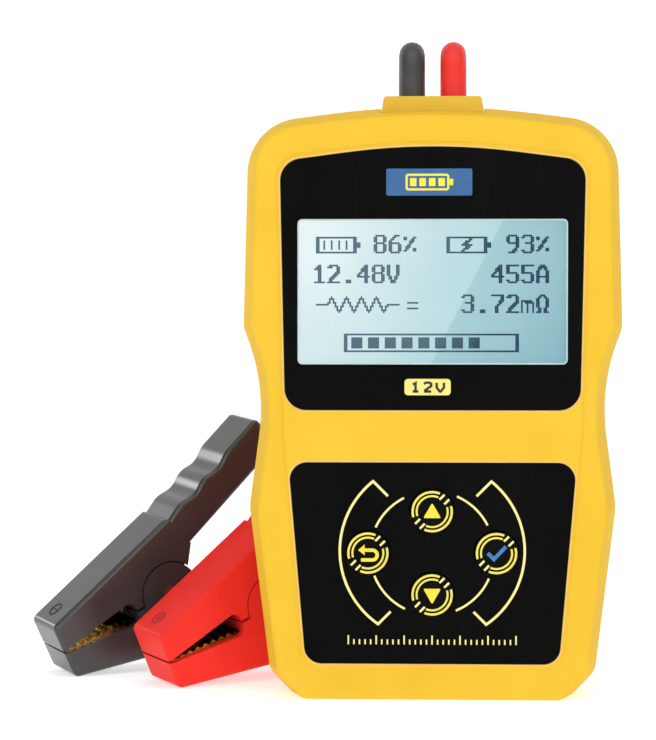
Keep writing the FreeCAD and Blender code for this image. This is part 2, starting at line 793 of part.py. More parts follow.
def through(body, corners, side, width, kind="Pocket"):
    extrude(kind, outline(new_sketch(body), flipped(corners, side)), width, both_ways=True)


def through_round(body, radius, width, kind="Pocket"):
    extrude(kind, circles(new_sketch(body), [("0", "0", radius)]), width, both_ways=True)


def make_jaw(label, side):
    """Wedge shaped jaw; the lower one has the round outer ears, the upper one the ears between them."""
    body = new_body(label)
    through(body, [
        ("jaw_length", "tip_gap", "0"),
        ("jaw_length", "tip_height", "tip_round"),
        ("-seam_back", OUTER_SEAM, "0"),
        on_grip("0", "grip_depth") + ("0",),
        ("-inner_ear_radius", "tip_gap", "0"),
        ("mouth_back", "tip_gap", "0"),
        ("mouth_back", "mouth_half", "mouth_round"),
    ], side, "clamp_width", "Pad")
    half = size("clamp_width / 2")
    low = size("tip_height - tip_round") - 0.01
    front = -size("seam_back") - 0.01
    round_edges(body, "clamp_edge_round", lambda point: near(abs(point.y), half)
                and point.z * side > low and point.x > front)
    if side > 0:
        for face, backwards in (("clamp_width / 2", False), ("-clamp_width / 2", True)):
            disc = circles(new_sketch(body, offset=face), [("0", "0", "ear_radius + ear_gap")])
            pocket(disc, "ear_wall + inner_ear_gap", backwards=backwards)
        through_round(body, "inner_ear_radius", EARS_WIDTH, "Pad")
        through_round(body, "spring_room", SPRING_WIDTH)
    else:
        through_round(body, "ear_radius", "clamp_width", "Pad")
        through_round(body, "ear_radius + 2 * ear_gap", INNER_WIDTH)
    through(body, [
        ("spring_radius", "-spring_room", "0"),
        ("spring_radius", "spring_room", "0"),
        ("-2 * spring_room", "grip_depth + spring_room", "0"),
        ("-2 * spring_room", "-spring_room", "0"),
    ], side, SPRING_WIDTH)
    through_round(body, "pivot_radius + " + ("pivot_clearance" if side > 0 else "pivot_fit"), "clamp_width")
    ends = ("contact_front + contact_gap", "contact_back - contact_gap")
    seat = [(ends[0], "-tip_gap", "0")]
    seat += [(end, mouth_edge(end) + " + contact_thick", "0") for end in ends]
    seat.append((ends[1], "-tip_gap", "0"))
    through(body, seat, side, "contact_width + 2 * contact_gap")
    return body


def make_grip(label, side):
    """Hollow handle, open on the inside, with two finger grooves and their humps behind the seam."""
    body = new_body(label)
    through(body, [
        on_grip("0", "seam_step") + ("0",),
        on_grip("0", "grip_depth") + ("0",),
        on_grip("grip_length", "grip_depth") + ("grip_low_round",),
        on_grip("grip_length", "0") + ("grip_end_round",),
        on_grip("groove_first + 1.5 * groove_pitch", "0") + ("groove_round",),
        on_grip("groove_first + groove_pitch", "groove_depth") + ("groove_round",),
        on_grip("groove_first + 0.5 * groove_pitch", "-hump_rise") + ("groove_round",),
        on_grip("groove_first", "groove_depth") + ("groove_round",),
        on_grip("groove_first - 0.5 * groove_pitch", "-hump_rise") + ("groove_round",),
    ], side, "clamp_width", "Pad")
    half = size("clamp_width / 2")
    slope = math.tan(math.radians(size("grip_angle")))
    top = size(OUTER_SEAM)
    seam = -size("seam_back")
    round_edges(body, "clamp_edge_round", lambda point: near(abs(point.y), half)
                and near(point.z * side, top + (seam - point.x) * slope))
    inside = "grip_length - grip_wall"
    through(body, [
        on_grip("-grip_wall", "grip_wall") + ("0",),
        on_grip(inside, "grip_wall") + ("0",),
        on_grip(inside, "grip_depth * 2") + ("0",),
        on_grip("-grip_wall", "grip_depth * 2") + ("0",),
    ], side, "clamp_width - 2 * grip_wall")
    return body


def boot_place():
    """Where the boot's axis leaves the end of the lower grip, in the clamp's own frame."""
    along, up = on_grip("grip_length", "boot_middle")
    turn = Rotation(Vector(0, 1, 0), Vector(-math.cos(math.radians(size("grip_angle"))), 0,
                                            -math.sin(math.radians(size("grip_angle")))))
    return Placement(Vector(size(along), 0, -size(up)), turn)


def bore_boot_hole(body):
    """The round hole for the boot's neck, square to the end of the lower grip."""
    along, up = on_grip("grip_length", "boot_middle")
    sketch = new_sketch(body, "YZ_Plane")
    tilt = Rotation(Vector(1, 0, 0), -size("grip_angle"))
    sketch.AttachmentOffset = Placement(Vector(0, -size(up), size(along)), tilt)
    circles(sketch, [("0", "0", "boot_neck_radius + boot_gap")])
    pocket(sketch, "grip_wall * 3", both_ways=True)


def make_boot(label):
    """Tapered strain relief with a neck in the grip's end and a bore for the lead."""
    body = new_body(label)
    bore = "lead_radius + lead_gap"
    revolve(body, [
        (bore, "-grip_wall", "0"),
        ("boot_neck_radius", "-grip_wall", "0"),
        ("boot_neck_radius", "0", "0"),
        ("boot_radius", "0", "0"),
        ("boot_radius", "grip_wall", "0"),
        ("boot_tip_radius", "boot_length", "boot_round"),
        (bore + " + boot_flare", "boot_length", "0"),
    ])
    return body


def make_contact(label, side):
    """Brass strip with a row of teeth that grow towards the back of the mouth."""
    body = new_body(label)
    teeth = int(size("tooth_count"))
    corners = [(end, mouth_edge(end) + " + contact_thick", "0") for end in ("contact_front", "contact_back")]
    for step in range(2 * teeth + 1):
        along = "contact_back + (contact_front - contact_back) * %d / (2 * tooth_count)" % step
        share = "tooth_tip_share" if step % 2 else "tooth_root_share"
        corners.append((along, "%s * %s" % (mouth_edge(along), share), "0"))
    through(body, corners, side, "contact_width", "Pad")
    return body


def make_pivot(label):
    body = new_body(label)
    end = "clamp_width / 2 - pivot_recess"
    revolve(body, [("0", "-(%s)" % end, "0"), ("pivot_radius", "-(%s)" % end, "pivot_round"),
                   ("pivot_radius", end, "pivot_round"), ("0", end, "0")])
    return body


def arc_from(start, heading, end):
    """The arc that leaves start along heading and reaches end, or the line if it is straight."""
    chord = end - start
    side = chord - heading * chord.dot(heading)
    if side.Length < 1e-6:
        return Part.LineSegment(start, end)
    side.normalize()
    radius = chord.Length ** 2 / (2 * chord.dot(side))
    centre = start + side * radius
    middle = (start + end) * 0.5 - centre
    turn = heading.getAngle(chord)
    reach = middle.normalize() if turn < math.pi / 2 else middle.normalize() * -1
    return Part.Arc(start, centre + reach * radius, end)


def biarc(start, heading, end, leaving):
    """Two tangent arcs between two points with given headings."""
    chord = end - start
    total = heading + leaving
    bend = 2 * (1 - heading.dot(leaving))
    along = chord.dot(total)
    if bend < 1e-9:
        reach = chord.dot(chord) / (4 * chord.dot(leaving))
    else:
        reach = (-along + math.sqrt(along ** 2 + bend * chord.dot(chord))) / bend
    joint = (start + end + (heading - leaving) * reach) * 0.5
    middle = (joint - start - heading * reach).normalize()
    return [arc_from(start, heading, joint), arc_from(joint, middle, end)]


def tube(edges, radius):
    """A round tube along edges that follow each other smoothly."""
    path = Part.Wire([edge.toShape() for edge in edges])
    first = path.OrderedEdges[0]
    start = first.valueAt(first.FirstParameter)
    heading = first.tangentAt(first.FirstParameter)
    ring = Part.Wire(Part.Circle(start, heading, radius).toShape())
    return path.makePipeShell([ring], True, False)


def least_gap(edges, radius):
    """The least clear distance of a tube to itself, measured on points along its middle."""
    path = Part.Wire([edge.toShape() for edge in edges])
    points = path.discretize(Distance=radius / 2)
    apart = 12
    gaps = []
    for index, here in enumerate(points[:-apart]):
        gaps.append(min(here.distanceToPoint(other) for other in points[index + apart:]))
    return min(gaps) - 2 * radius


def make_spring(label):
    """Torsion spring round the pivot: its turns, and a leg along the inside of each grip."""
    wire = size("spring_wire") / 2
    radius = size("spring_radius")
    pitch = size("spring_pitch")
    turns = int(size("spring_turns"))
    along, up = on_grip("spring_reach", "grip_wall + spring_wire / 2 + contact_gap")
    tip = Vector(size(along), 0, size(up))
    leave = math.atan2(tip.z, tip.x) - math.acos(radius / tip.Length)
    sweep = 2 * leave + 2 * math.pi * turns
    rise = pitch / (2 * math.pi)

    def coil(angle):
        return Vector(radius * math.cos(angle), rise * (angle + leave - sweep / 2), radius * math.sin(angle))

    def heading(angle):
        return Vector(-radius * math.sin(angle), rise, radius * math.cos(angle)).normalize()

    steps = 4 * turns + 2
    angles = [-leave + sweep * step / steps for step in range(steps + 1)]
    edges = []
    for here, ahead in zip(angles, angles[1:]):
        edges += biarc(coil(here), heading(here), coil(ahead), heading(ahead))
    run = math.sqrt(tip.Length ** 2 - radius ** 2)
    first = coil(angles[0])
    last = coil(angles[-1])
    edges.insert(0, Part.LineSegment(first - heading(angles[0]) * run, first))
    edges.append(Part.LineSegment(last, last + heading(angles[-1]) * run))
    print(label, "least gap to itself", round(least_gap(edges, wire), 2))
    return shape_part(label, tube(edges, wire))


def rounded_run(points):
    """Straight runs joined by tangent arcs, each as large as its two runs allow."""
    edges = []
    radii = []
    start = points[0]
    for before, here, after in zip(points, points[1:], points[2:]):
        back = (before - here).normalize()
        ahead = (after - here).normalize()
        half = back.getAngle(ahead) / 2
        reach = 0.45 * min((before - here).Length, (after - here).Length)
        radius = reach * math.tan(half)
        entry = here + back * reach
        leave = here + ahead * reach
        middle = (back + ahead).normalize()
        crown = here + middle * (radius / math.sin(half) - radius)
        edges += [Part.LineSegment(start, entry), Part.Arc(entry, crown, leave)]
        radii.append(round(radius, 1))
        start = leave
    edges.append(Part.LineSegment(start, points[-1]))
    return edges, radii


def make_lead(colour, route, place):
    """Lead from the collar over the top, down behind the housing and into its clamp's boot."""
    side = -1 if colour == "black" else 1
    seat = place.multiply(boot_place())
    start = Vector(side * size("lead_x"), 0, size(CROWN + " - lead_drop"))
    mouth = seat.multVec(Vector(0, size("boot_length + cut_over"), 0))
    end = seat.multVec(Vector(0, -size("grip_wall"), 0))
    edges, radii = rounded_run([start] + [Vector(*point) for point in route] + [mouth, end])
    radius = size("lead_radius")
    solid = tube(edges, radius)
    length = sum(edge.length() for edge in edges)
    share = solid.Volume / (math.pi * radius ** 2 * length)
    print(colour, "lead", round(length, 1), "mm, volume share", round(share, 4), "radii", radii)
    shape_part(colour + "_lead", solid)


def make_lead_tail(colour):
    """The lead's end inside the housing: its jacket under the clamp bar, then a wire to its terminal."""
    side = -1 if colour == "black" else 1
    across = side * size("lead_x")
    step = size(CROWN + " - tail_step_drop")
    rear = size("terminal_depth") / 2
    height = size("tail_step_drop - lead_drop")
    jacket = Part.makeCylinder(size("lead_radius"), height, Vector(across, 0, step))
    points = [Vector(across, 0, step), Vector(across, 0, step - size("tail_drop")),
              Vector(across, rear, step - size("tail_drop + tail_slant")),
              Vector(across, rear, size(TERMINAL_TOP))]
    wire = tube(rounded_run(points)[0], size("tail_radius"))
    shape_part(colour + "_lead_tail", jacket.fuse(wire).removeSplitter())


def make_clamp(colour, route):
    """One spring clamp, its upper arm free to turn on the pivot pin, and its lead."""
    middle = Vector(*[size(colour + "_pivot_" + axis) for axis in "xyz"])
    turn = Rotation(*[size(colour + "_" + name) for name in ("yaw", "pitch", "roll")])
    place = Placement(middle, turn)
    pieces = []
    for name, side in (("upper", 1), ("lower", -1)):
        pieces.append(make_jaw("%s_%s_jaw" % (colour, name), side))
        pieces.append(make_grip("%s_%s_grip" % (colour, name), side))
        if side < 0:
            bore_boot_hole(pieces[-1])
        pieces.append(make_contact("%s_%s_contact" % (colour, name), side))
    pieces.append(make_pivot(colour + "_pivot_pin"))
    pieces.append(make_spring(colour + "_spring"))
    for piece in pieces:
        piece.Placement = place
    make_boot(colour + "_boot").Placement = place.multiply(boot_place())
    make_lead_tail(colour)
    make_lead(colour, route, place)


make_front_shell()
make_rear_shell()
make_panels()
make_keys()
make_switches()
make_boards()
make_components()
make_fasteners()
make_collar()
make_clamp("black", BLACK_ROUTE)
make_clamp("red", RED_ROUTE)

doc.recompute()
for item in doc.Objects:
    if "Invalid" in item.State or "Error" in item.State:
        raise RuntimeError("%s did not build: %s" % (item.Label, item.State))
for label, item in parts.items():
    if item.Shape.isNull() or not item.Shape.isValid():
        raise RuntimeError("%s has no valid shape" % label)

os.makedirs("parts", exist_ok=True)
for label, item in parts.items():
    item.Shape.exportStep("parts/%s.step" % label)
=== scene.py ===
"""Finish of a handheld battery tester: leads, prints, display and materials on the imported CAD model."""

import json
import math

import bmesh
import bpy
import numpy as np
from mathutils import Euler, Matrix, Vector


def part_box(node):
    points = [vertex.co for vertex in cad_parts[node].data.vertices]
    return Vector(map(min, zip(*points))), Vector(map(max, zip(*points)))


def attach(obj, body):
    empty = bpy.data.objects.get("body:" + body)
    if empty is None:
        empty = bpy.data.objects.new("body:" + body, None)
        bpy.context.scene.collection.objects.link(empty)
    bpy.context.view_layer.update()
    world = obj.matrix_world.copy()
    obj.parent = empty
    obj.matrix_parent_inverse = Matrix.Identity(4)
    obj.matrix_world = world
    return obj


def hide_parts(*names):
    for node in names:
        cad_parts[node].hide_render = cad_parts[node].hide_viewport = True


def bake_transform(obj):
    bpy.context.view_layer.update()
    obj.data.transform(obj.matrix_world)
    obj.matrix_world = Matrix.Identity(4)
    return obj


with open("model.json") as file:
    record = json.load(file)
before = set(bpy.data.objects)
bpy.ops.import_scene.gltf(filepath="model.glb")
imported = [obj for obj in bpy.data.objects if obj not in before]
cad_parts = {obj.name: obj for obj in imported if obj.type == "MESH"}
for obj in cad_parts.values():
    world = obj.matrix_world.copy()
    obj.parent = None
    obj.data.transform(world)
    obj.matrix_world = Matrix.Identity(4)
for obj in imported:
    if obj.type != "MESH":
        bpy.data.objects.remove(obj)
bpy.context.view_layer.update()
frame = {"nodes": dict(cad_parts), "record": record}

# Lengths are in metres where MM is a factor, and otherwise as the line above them says
MM = 0.001
TESTER = "tester"
KEYS = ("up", "down", "back", "ok")

# Camera, in metres, with its lens and sensor in millimetres: it stands in front, a little above the middle,
# and looks slightly down and to the left
CAMERA_PLACE = (0.0003, -0.716, 0.1094)
CAMERA_DOWN = math.radians(1.482)
CAMERA_LEFT = math.radians(2.373)
CAMERA_LENS = 123.8
CAMERA_SENSOR = 36.0
CAMERA_CLIP = (0.01, 50.0)

# Leads, in metres: how finely they are drawn along and around, and where each one runs, from the collar over
# the top and down behind the housing to its clamp
LEAD_DIAMETER = 0.0073
LEAD_STEPS = 24
LEAD_ROUNDING = 6
LEAD_ROUTES = {
    "black": [
        (-0.0058, 0, 0.1551), (-0.0058, 0, 0.162), (-0.0058, 0, 0.1804), (-0.006, 0.027, 0.1804),
        (-0.0055, 0.054, 0.139), (0.006, 0.0785, 0.1), (0.0132, 0.0955, 0.066), (0.0126, 0.1003, 0.044),
        (0.006, 0.0966, 0.029), (-0.0066, 0.0895, 0.0215), (-0.0206, 0.0816, 0.0208),
        (-0.0357, 0.0731, 0.019),
    ],
    "red": [
        (0.0058, 0, 0.1551), (0.0058, 0, 0.162), (0.0058, 0, 0.1804), (0.006, 0.027, 0.1804),
        (0.007, 0.0482, 0.138), (0.023, 0.069, 0.098), (0.037, 0.083, 0.062), (0.0408, 0.087, 0.04),
        (0.0345, 0.083, 0.025), (0.0223, 0.0751, 0.0175), (0.0088, 0.0663, 0.0177),
        (-0.0057, 0.0569, 0.0163),
    ],
}

# Clamps: their turns, in degrees, their pivots, in millimetres, and the mark on top near each tip
CLAMP_TURN = {"black": (207.9, 26.0, -4.5), "red": (211.5, 24.2, -4.3)}
CLAMP_PIVOT = {"black": (-82.3, 45.9, 24.24), "red": (-50.4, 27.0, 23.32)}
JAW_TIP = (37.2, 8.5)
JAW_ANGLE = math.radians(15.2)
MARK_PLACE = (31.75, -0.5)
MARK_RISE = 0.12 * MM
MARK_RADIUS = 2.05
MARK_LINE = 0.5
MARK_STEPS = 48
MINUS_SIZE = (0.5, 2.2, 0.15)
PLUS_EDGE = [(-1.1, -0.25), (-0.25, -0.25), (-0.25, -1.1), (0.25, -1.1), (0.25, -0.25), (1.1, -0.25),
             (1.1, 0.25), (0.25, 0.25), (0.25, 1.1), (-0.25, 1.1), (-0.25, 0.25), (-1.1, 0.25)]

# Clamp springs, in millimetres: a coil about the pivot and a leg to each grip
SPRING_WIRE = 1.3
SPRING_RADIUS = 4.2
SPRING_PITCH = 1.75
SPRING_TURNS = 3
SPRING_TIP = (-20.443, 21.934)
SPRING_STEPS = 96
SPRING_SIDES = 12

# Heights over which the clamps' brass turns from bright to dark, a painted shade for the shadowed back of
# their mouths, and above which other brass is bright
MOUTH_SHADE_LOW = 11.0 * MM
MOUTH_SHADE_HIGH = 14.5 * MM
MOUTH_SHADE_END = 40.0 * MM

# Ink: how far a print stands off its face and reaches under it, how far one on another print stands off, and
# the least cosine by which a line's corner is mitred
INK = 0.03 * MM
INK_UNDER = 0.02 * MM
INK_ON_INK = 2 * INK
KEY_INK = 0.03 * MM
MITRE_LEAST = 0.3

# Keys, in millimetres: their places from the middle of the base, their dished tops and their prints
KEYPAD_MIDDLE = (0.0, 40.8)
KEY_PLACES = {"up": (0.0, 52.3), "down": (0.0, 29.3), "back": (-17.7, 40.8), "ok": (17.7, 40.8)}
DISH_FLAT = 3.47 * MM
DISH_ROUND = 6.1 * MM
DISH_DEPTH = 0.25 * MM
RINGS = ((5.38, 0.63), (4.27, 0.54))
RING_ARCS = ((67, 196.5), (247, 376.5))
DASH_OUT = 4.75
DASH_ASIDE = 0.92
DASH_HALF = 0.95
DASH_WIDTH = 0.6
DASH_STEPS = 9
UP_EDGE = [(-2.45, -1.8, 0.25), (2.45, -1.8, 0.25), (0, 2.4, 0.25)]
DOWN_EDGE = [(2.45, 1.7, 0.25), (-2.45, 1.7, 0.25), (0, -2.6, 0.25)]
ARROW_STEPS = 5
BACK_HEAD = [(-2.7, 0.8), (-0.9, -0.6), (-0.9, 2.35)]
BACK_START = (-1.0, 0.8)
BACK_BEND = (1.2, -0.55)
BACK_RADIUS = 1.36
BACK_END = (-1.9, -1.9)
BACK_WIDTH = 0.95
BACK_STEPS = 24
OK_PATH = [(-2.4, 0.1), (-0.7, -1.6), (2.6, 1.9)]
OK_WIDTH = 1.05

# Lines about the keys, in millimetres and degrees: arcs between, brackets beside and a scale below them
LINK_ARCS = ((117, 155.5), (27, 66.5), (201.5, 244), (292.5, 336))
LINK_RADIUS = 17.1
LINK_WIDTH = 0.6
BRACKET_MIDDLE = (-0.77, 0.61)
BRACKET_RADIUS = 24.68
BRACKET_ENDS = (128.9, 235.1)
BRACKET_TOP = 5.75
BRACKET_LOW = 4.9
BRACKET_WIDTH = 0.7
BRACKET_STEPS = 96
SCALE_FOOT = 15.55
SCALE_SIDE = 15
SCALE_PITCH = 1.54
SCALE_GROUP = 5
SCALE_LONG = 2.5
SCALE_SHORT = 1.4
SCALE_WIDTH = 0.42

# Panels, window and plates, in millimetres: corners with a radius, and sizes as width, height and radius
# The pale line round each panel, a painted highlight on the edge of its recess: its width and the steps in its
# corners
EDGE_HIGHLIGHT_WIDTH = 0.4
EDGE_HIGHLIGHT_STEPS = 24
DISPLAY_EDGE = [(-40.85, 79.95, 6.35), (40.85, 79.95, 6.35), (42.25, 148.95, 6.35), (0, 154.45, 180),
                (-42.25, 148.95, 6.35)]
KEYPAD_EDGE = [(-35.15, 9.95, 5.05), (35.15, 9.95, 5.05), (39.95, 66.05, 5.05), (-39.95, 66.05, 5.05)]
WINDOW_MIDDLE = (0.0, 112.8)
BORDER_SIZE = (73.8, 39.5, 1.1)
BORDER_WIDTH = 0.38
PLATE_MIDDLE = (-0.9, 142.9)
PLATE_SIZE = (23.6, 7.4, 0.5)
CELL_SIZE = (11.4, 4.0, 0.5)
CELL_ASIDE = -0.5
CELL_LINE = 0.6
NUB_SIZE = (1.0, 1.8, 0.3)
NUB_ASIDE = 6.1
BAR_SIZE = (1.8, 2.2, 0.2)
BAR_ASIDES = (-4.4, -1.8, 0.8, 3.4)
BADGE_MIDDLE = (-1.3, 86.6)
BADGE_SIZE = (12.7, 4.5, 1.0)
BADGE_DOT = (0.4, 0.27)
BADGE_PITCH = 3.5
BADGE_LINE = 0.7

# Display: signs of strokes on a grid of dots, seven across and ten down, and how near a stroke lights a dot
SIGN_COLUMNS = 7
SIGN_ROWS = 10
SIGN_PITCH = 8
STROKE_STEPS = 120
DOT_REACH = (0.751, 0.501)
DOT_PITCH = 0.515 * MM
DOT_SIZE = 0.5 * MM
READING_LEFT = -33.0 * MM
READING_TOP = 128.3 * MM
SIGNS = {
    "1": [[(1.6, 2), (3.5, 0.4), (3.5, 9)], [(1.5, 9), (5.5, 9)]],
    "2": [[(0.5, 1.4), (1.7, 0), (4.3, 0), (5.5, 1), (5.5, 3.4), (0.9, 8.2)], [(0.5, 9), (5.5, 9)]],
    "3": [[(0.5, 1), (1.7, 0), (4.3, 0), (5.5, 1), (5.5, 3), (4.3, 4), (2.5, 4)],
          [(4.3, 4), (5.5, 5), (5.5, 8), (4.3, 9), (1.7, 9), (0.5, 8)]],
    "4": [[(4.5, 9), (4.5, 0), (0.5, 5.4), (0.5, 6), (5.5, 6)]],
    "5": [[(5.5, 0), (0.5, 0), (0.5, 4), (4.3, 4), (5.5, 5), (5.5, 8), (4.3, 9), (1.7, 9), (0.5, 8)]],
    "6": [[(4.6, 0), (2.5, 0.6), (0.5, 3), (0.5, 8)], [(1.7, 9), (4.3, 9)], [(5.5, 5), (5.5, 8)],
          [(1.7, 4), (4.3, 4)]],
    "7": [[(0.5, 0), (5.5, 0), (5.5, 2.4), (2.6, 6), (2.6, 9)]],
    "8": [[(1.7, 0), (4.3, 0)], [(0.5, 1), (0.5, 3)], [(5.5, 1), (5.5, 3)], [(1.7, 4), (4.3, 4)],
          [(0.5, 5), (0.5, 8)], [(5.5, 5), (5.5, 8)], [(1.7, 9), (4.3, 9)]],
    "9": [[(1.7, 0), (4.3, 0)], [(0.5, 1), (0.5, 3)], [(1.7, 4), (4.6, 4)],
          [(5.5, 1), (5.5, 6), (3.4, 8.6), (1.6, 9)]],
    "%": [[(0.5, 1), (0.5, 2)], [(5.5, 1), (0.5, 8)], [(5.5, 7), (5.5, 8)]],
    "V": [[(0.5, 0), (0.5, 5), (2.7, 9), (3.3, 9), (5.5, 5), (5.5, 0)]],
    "A": [[(0.5, 9), (0.5, 3), (2.7, 0), (3.3, 0), (5.5, 3), (5.5, 9)], [(1, 6), (5, 6)]],
    ".": [[(2.6, 8.5), (3.4, 8.5)]],
    "m": [[(0, 3), (0, 9)], [(0, 3.4), (1.6, 3), (3, 4), (3, 9)], [(3, 4), (4.4, 3), (6, 4), (6, 9)]],
    "o": [[(0.3, 9), (1.7, 9), (1.7, 7.5), (0.5, 5.5), (0.5, 2.5), (2, 0.4), (4, 0.4), (5.5, 2.5),
           (5.5, 5.5), (4.3, 7.5), (4.3, 9), (5.7, 9)]],
}
# Readings: the text and where it starts, in dots. Pictures: their strokes, their width and where they start
READINGS = [("86%", 33, 0), ("93%", 104, 0), ("12.48V", 0, 16), ("455A", 96, 16), ("3.72mo", 80, 32)]
CELL_PICTURE = [[(0.5, 1), (20.5, 1), (20.5, 9), (0.5, 9), (0.5, 1)], [(22.5, 4), (22.5, 6)],
                [(4, 3), (4, 7)], [(8, 3), (8, 7)], [(12, 3), (12, 7)], [(16, 3), (16, 7)]]
CHARGE_PICTURE = CELL_PICTURE[:2] + [[(12.5, 2), (8.5, 5), (12.5, 5), (8.5, 8)]]
ZIGZAG_PICTURE = [[(0, 5), (6, 5), (8, 1), (12, 9), (16, 1), (20, 9), (24, 1), (28, 9), (32, 1), (36, 9),
                   (38, 5), (44, 5)], [(49, 4), (54, 4)], [(49, 7), (54, 7)]]
LEVEL_PICTURE = [[(0.5, 0), (92.5, 0), (92.5, 9), (0.5, 9), (0.5, 0)]] + [
    [(along, up), (along + 5, up)] for along in range(4, 76, 9) for up in range(2, 8)]
PICTURES = [(CELL_PICTURE, 24, 2, 0), (CHARGE_PICTURE, 24, 72, 0), (ZIGZAG_PICTURE, 55, 2, 32),
            (LEVEL_PICTURE, 94, 17, 53)]

# The display, in metres: how far its painted sheen, a reflection on the glass painted into the backlight's
# colour, leans for each metre up, where it fades and where it steps, its colours from the left to the right,
# its clouds, and the dots' painted sheen, fading from pale to dark
SHEEN_LEAN = -0.5
SHEEN_FADE = (-0.05, 0.045)
SHEEN_STEP = (0.0094, 0.0098)
SHEEN_STEP_TONE = 0.2
SHEEN_TONES = ((0.86, 0.95, 0.96), (0.44, 0.68, 0.72), (0.18, 0.42, 0.5))
SHEEN_CLOUD_SCALE = 40.0
SHEEN_CLOUD_TONE = 0.05
DISPLAY_BASE = (0.03, 0.04, 0.04)
DISPLAY_GLOW = 0.95
DISPLAY_ROUGHNESS = 0.35
DOT_SHEEN_FADE = (0.0, 0.016)
DOT_AND_SHEEN_TONES = ((0.06, 0.115, 0.17), (0.003, 0.034, 0.085))
DOT_CLOUD_SCALE = 300.0
DOT_CLOUD_WIDTH = 3 * MM
DOT_ROUGHNESS = 0.6

# Noise: the middle part of its range, which holds nearly all its values, and the narrower part used for gloss
NOISE_LOW = 0.3
NOISE_HIGH = 0.7
GLOSS_BAND = (0.35, 0.65)

# Finishes: how their noise is turned, stretched and scaled, how much of it shows, and its relief as a strength
# and a depth in metres
GRAIN_DEPTH = 0.05 * MM
SMEAR_TURN = (0.0, 0.6, 0.0)
SMEAR_STRETCH = (1.0, 1.0, 0.35)
SMEAR_BAND = (0.3, 0.75)
DUST_SCALE = 2600.0
DUST_BAND = (0.68, 0.8)
DUST_RELIEF = (0.05, 0.02 * MM)
PANEL_SPECULAR = 0.03
LINE_STRETCH = (0.06, 1.0, 1.0)
LINE_RELIEF = (0.15, 0.03 * MM)
METAL_PATCH_SCALE = 180.0
# Brass colour and specular tint: bright, then dark where painted shade stands in for the shadow at the back of
# the clamps' mouths
BRASS_AND_SHADE_TONES = ((0.8, 0.56, 0.17), (0.016, 0.012, 0.008))
BRASS_SPECULAR_AND_SHADE_TINTS = ((1.0, 0.95, 0.85), (0.1, 0.09, 0.08))
MESH_RELIEF = (0.1, 0.01 * MM)
CLEAR_TONES = ((0.2, 0.24, 0.25), (0.3, 0.34, 0.35))
CLEAR_ALPHA = 0.03
TRACK_TURN = (math.pi / 2, 0.0, 0.0)
TRACK_SCALE = 160.0
TRACK_WIDTH = 0.04
TRACK_TONES = {"Color1": (0.012, 0.16, 0.06), "Color2": (0.016, 0.2, 0.075), "Mortar": (0.05, 0.3, 0.1)}
TRACK_RELIEF = (0.2, 0.03 * MM)
MASK_CLOUD_SCALE = 120.0
MASK_ROUGHNESS = (0.28, 0.42)

# Stage, in metres: the radius of its middle and of its flat floor, its bend, the wall's height over the bend
# in front and over the floor behind, its steps along the bend and around, and its own light
STAGE_MIDDLE = 1.5
STAGE_REACH = 6.0
STAGE_BEND = 1.5
STAGE_LOW = 1.5
STAGE_HIGH = 6.0
STAGE_STEPS = 24
STAGE_SIDES = 120
STAGE_GLOW = 0.5

# Lights: name, place, the point each one faces, size in metres and power in watts
WORLD_STRENGTH = 0.25
LIGHTS = [
    ("overhead", (0.0, -0.15, 0.85), (0, 0, 0.05), 0.9, 3.8),
    ("front_left", (-0.5, -1.4, 0.65), (0, 0, 0.09), 0.8, 2.8),
    ("front_right", (0.5, -1.4, 0.55), (0, 0, 0.09), 0.8, 2.8),
    ("back_left", (-1.04, 0.7, 0.42), (-0.07, 0.05, 0.06), 0.25, 1.1),
]


def make_camera():
    """A long lens at the photograph's viewing angle, with no shift and no blur."""
    data = bpy.data.cameras.new("camera")
    data.lens = CAMERA_LENS
    data.sensor_width = CAMERA_SENSOR
    data.clip_start, data.clip_end = CAMERA_CLIP
    camera = bpy.data.objects.new("camera", data)
    camera.location = CAMERA_PLACE
    camera.rotation_euler = Euler((math.pi / 2 - CAMERA_DOWN, 0, CAMERA_LEFT))
    bpy.context.scene.collection.objects.link(camera)
    bpy.context.scene.camera = camera


def make_lead(colour):
    """A lead: a smooth NURBS spline on the route's points as its centre line, with a round jacket about it."""
    name = colour + "_lead_jacket"
    data = bpy.data.curves.new(name, "CURVE")
    data.dimensions = "3D"
    data.bevel_depth = 1.0
    data.bevel_resolution = LEAD_ROUNDING
    data.resolution_u = LEAD_STEPS
    data.use_fill_caps = True
    route = LEAD_ROUTES[colour]
    spline = data.splines.new("NURBS")
    spline.points.add(len(route) - 1)
    for point, place in zip(spline.points, route):
        point.co = (*place, 1.0)
        point.radius = LEAD_DIAMETER / 2
    spline.order_u = 3
    spline.use_endpoint_u = True
    spline.use_smooth = True
    lead = bpy.data.objects.new(name, data)
    bpy.context.scene.collection.objects.link(lead)
    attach(lead, TESTER)
    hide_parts(colour + "_lead")
    return lead


make_camera()
leads = {colour: make_lead(colour) for colour in LEAD_ROUTES}


# Node groups that several finishes share


def new_group(name, inputs, outputs):
    """An empty shader group with float inputs (name, default) and outputs (name, kind)."""
    group = bpy.data.node_groups.new(name, "ShaderNodeTree")
    for label, default in inputs:
        socket = group.interface.new_socket(label, in_out="INPUT", socket_type="NodeSocketFloat")
        socket.default_value = default
    for label, kind in outputs:
        group.interface.new_socket(label, in_out="OUTPUT", socket_type=kind)
    return group, group.nodes.new("NodeGroupInput"), group.nodes.new("NodeGroupOutput")


def feed(tree, value, socket):
    """A number set on a socket, or an output linked to it."""
    if isinstance(value, (int, float)):
        socket.default_value = value
    else:
        tree.links.new(value, socket)


def add_noise(tree, place, scale, detail, rough=0.5):
    """A noise texture on a place, with a fixed or linked scale."""
    noise = tree.nodes.new("ShaderNodeTexNoise")
    noise.inputs["Detail"].default_value = detail
    noise.inputs["Roughness"].default_value = rough
    tree.links.new(place, noise.inputs["Vector"])
    feed(tree, scale, noise.inputs["Scale"])
    return noise.outputs["Fac"]


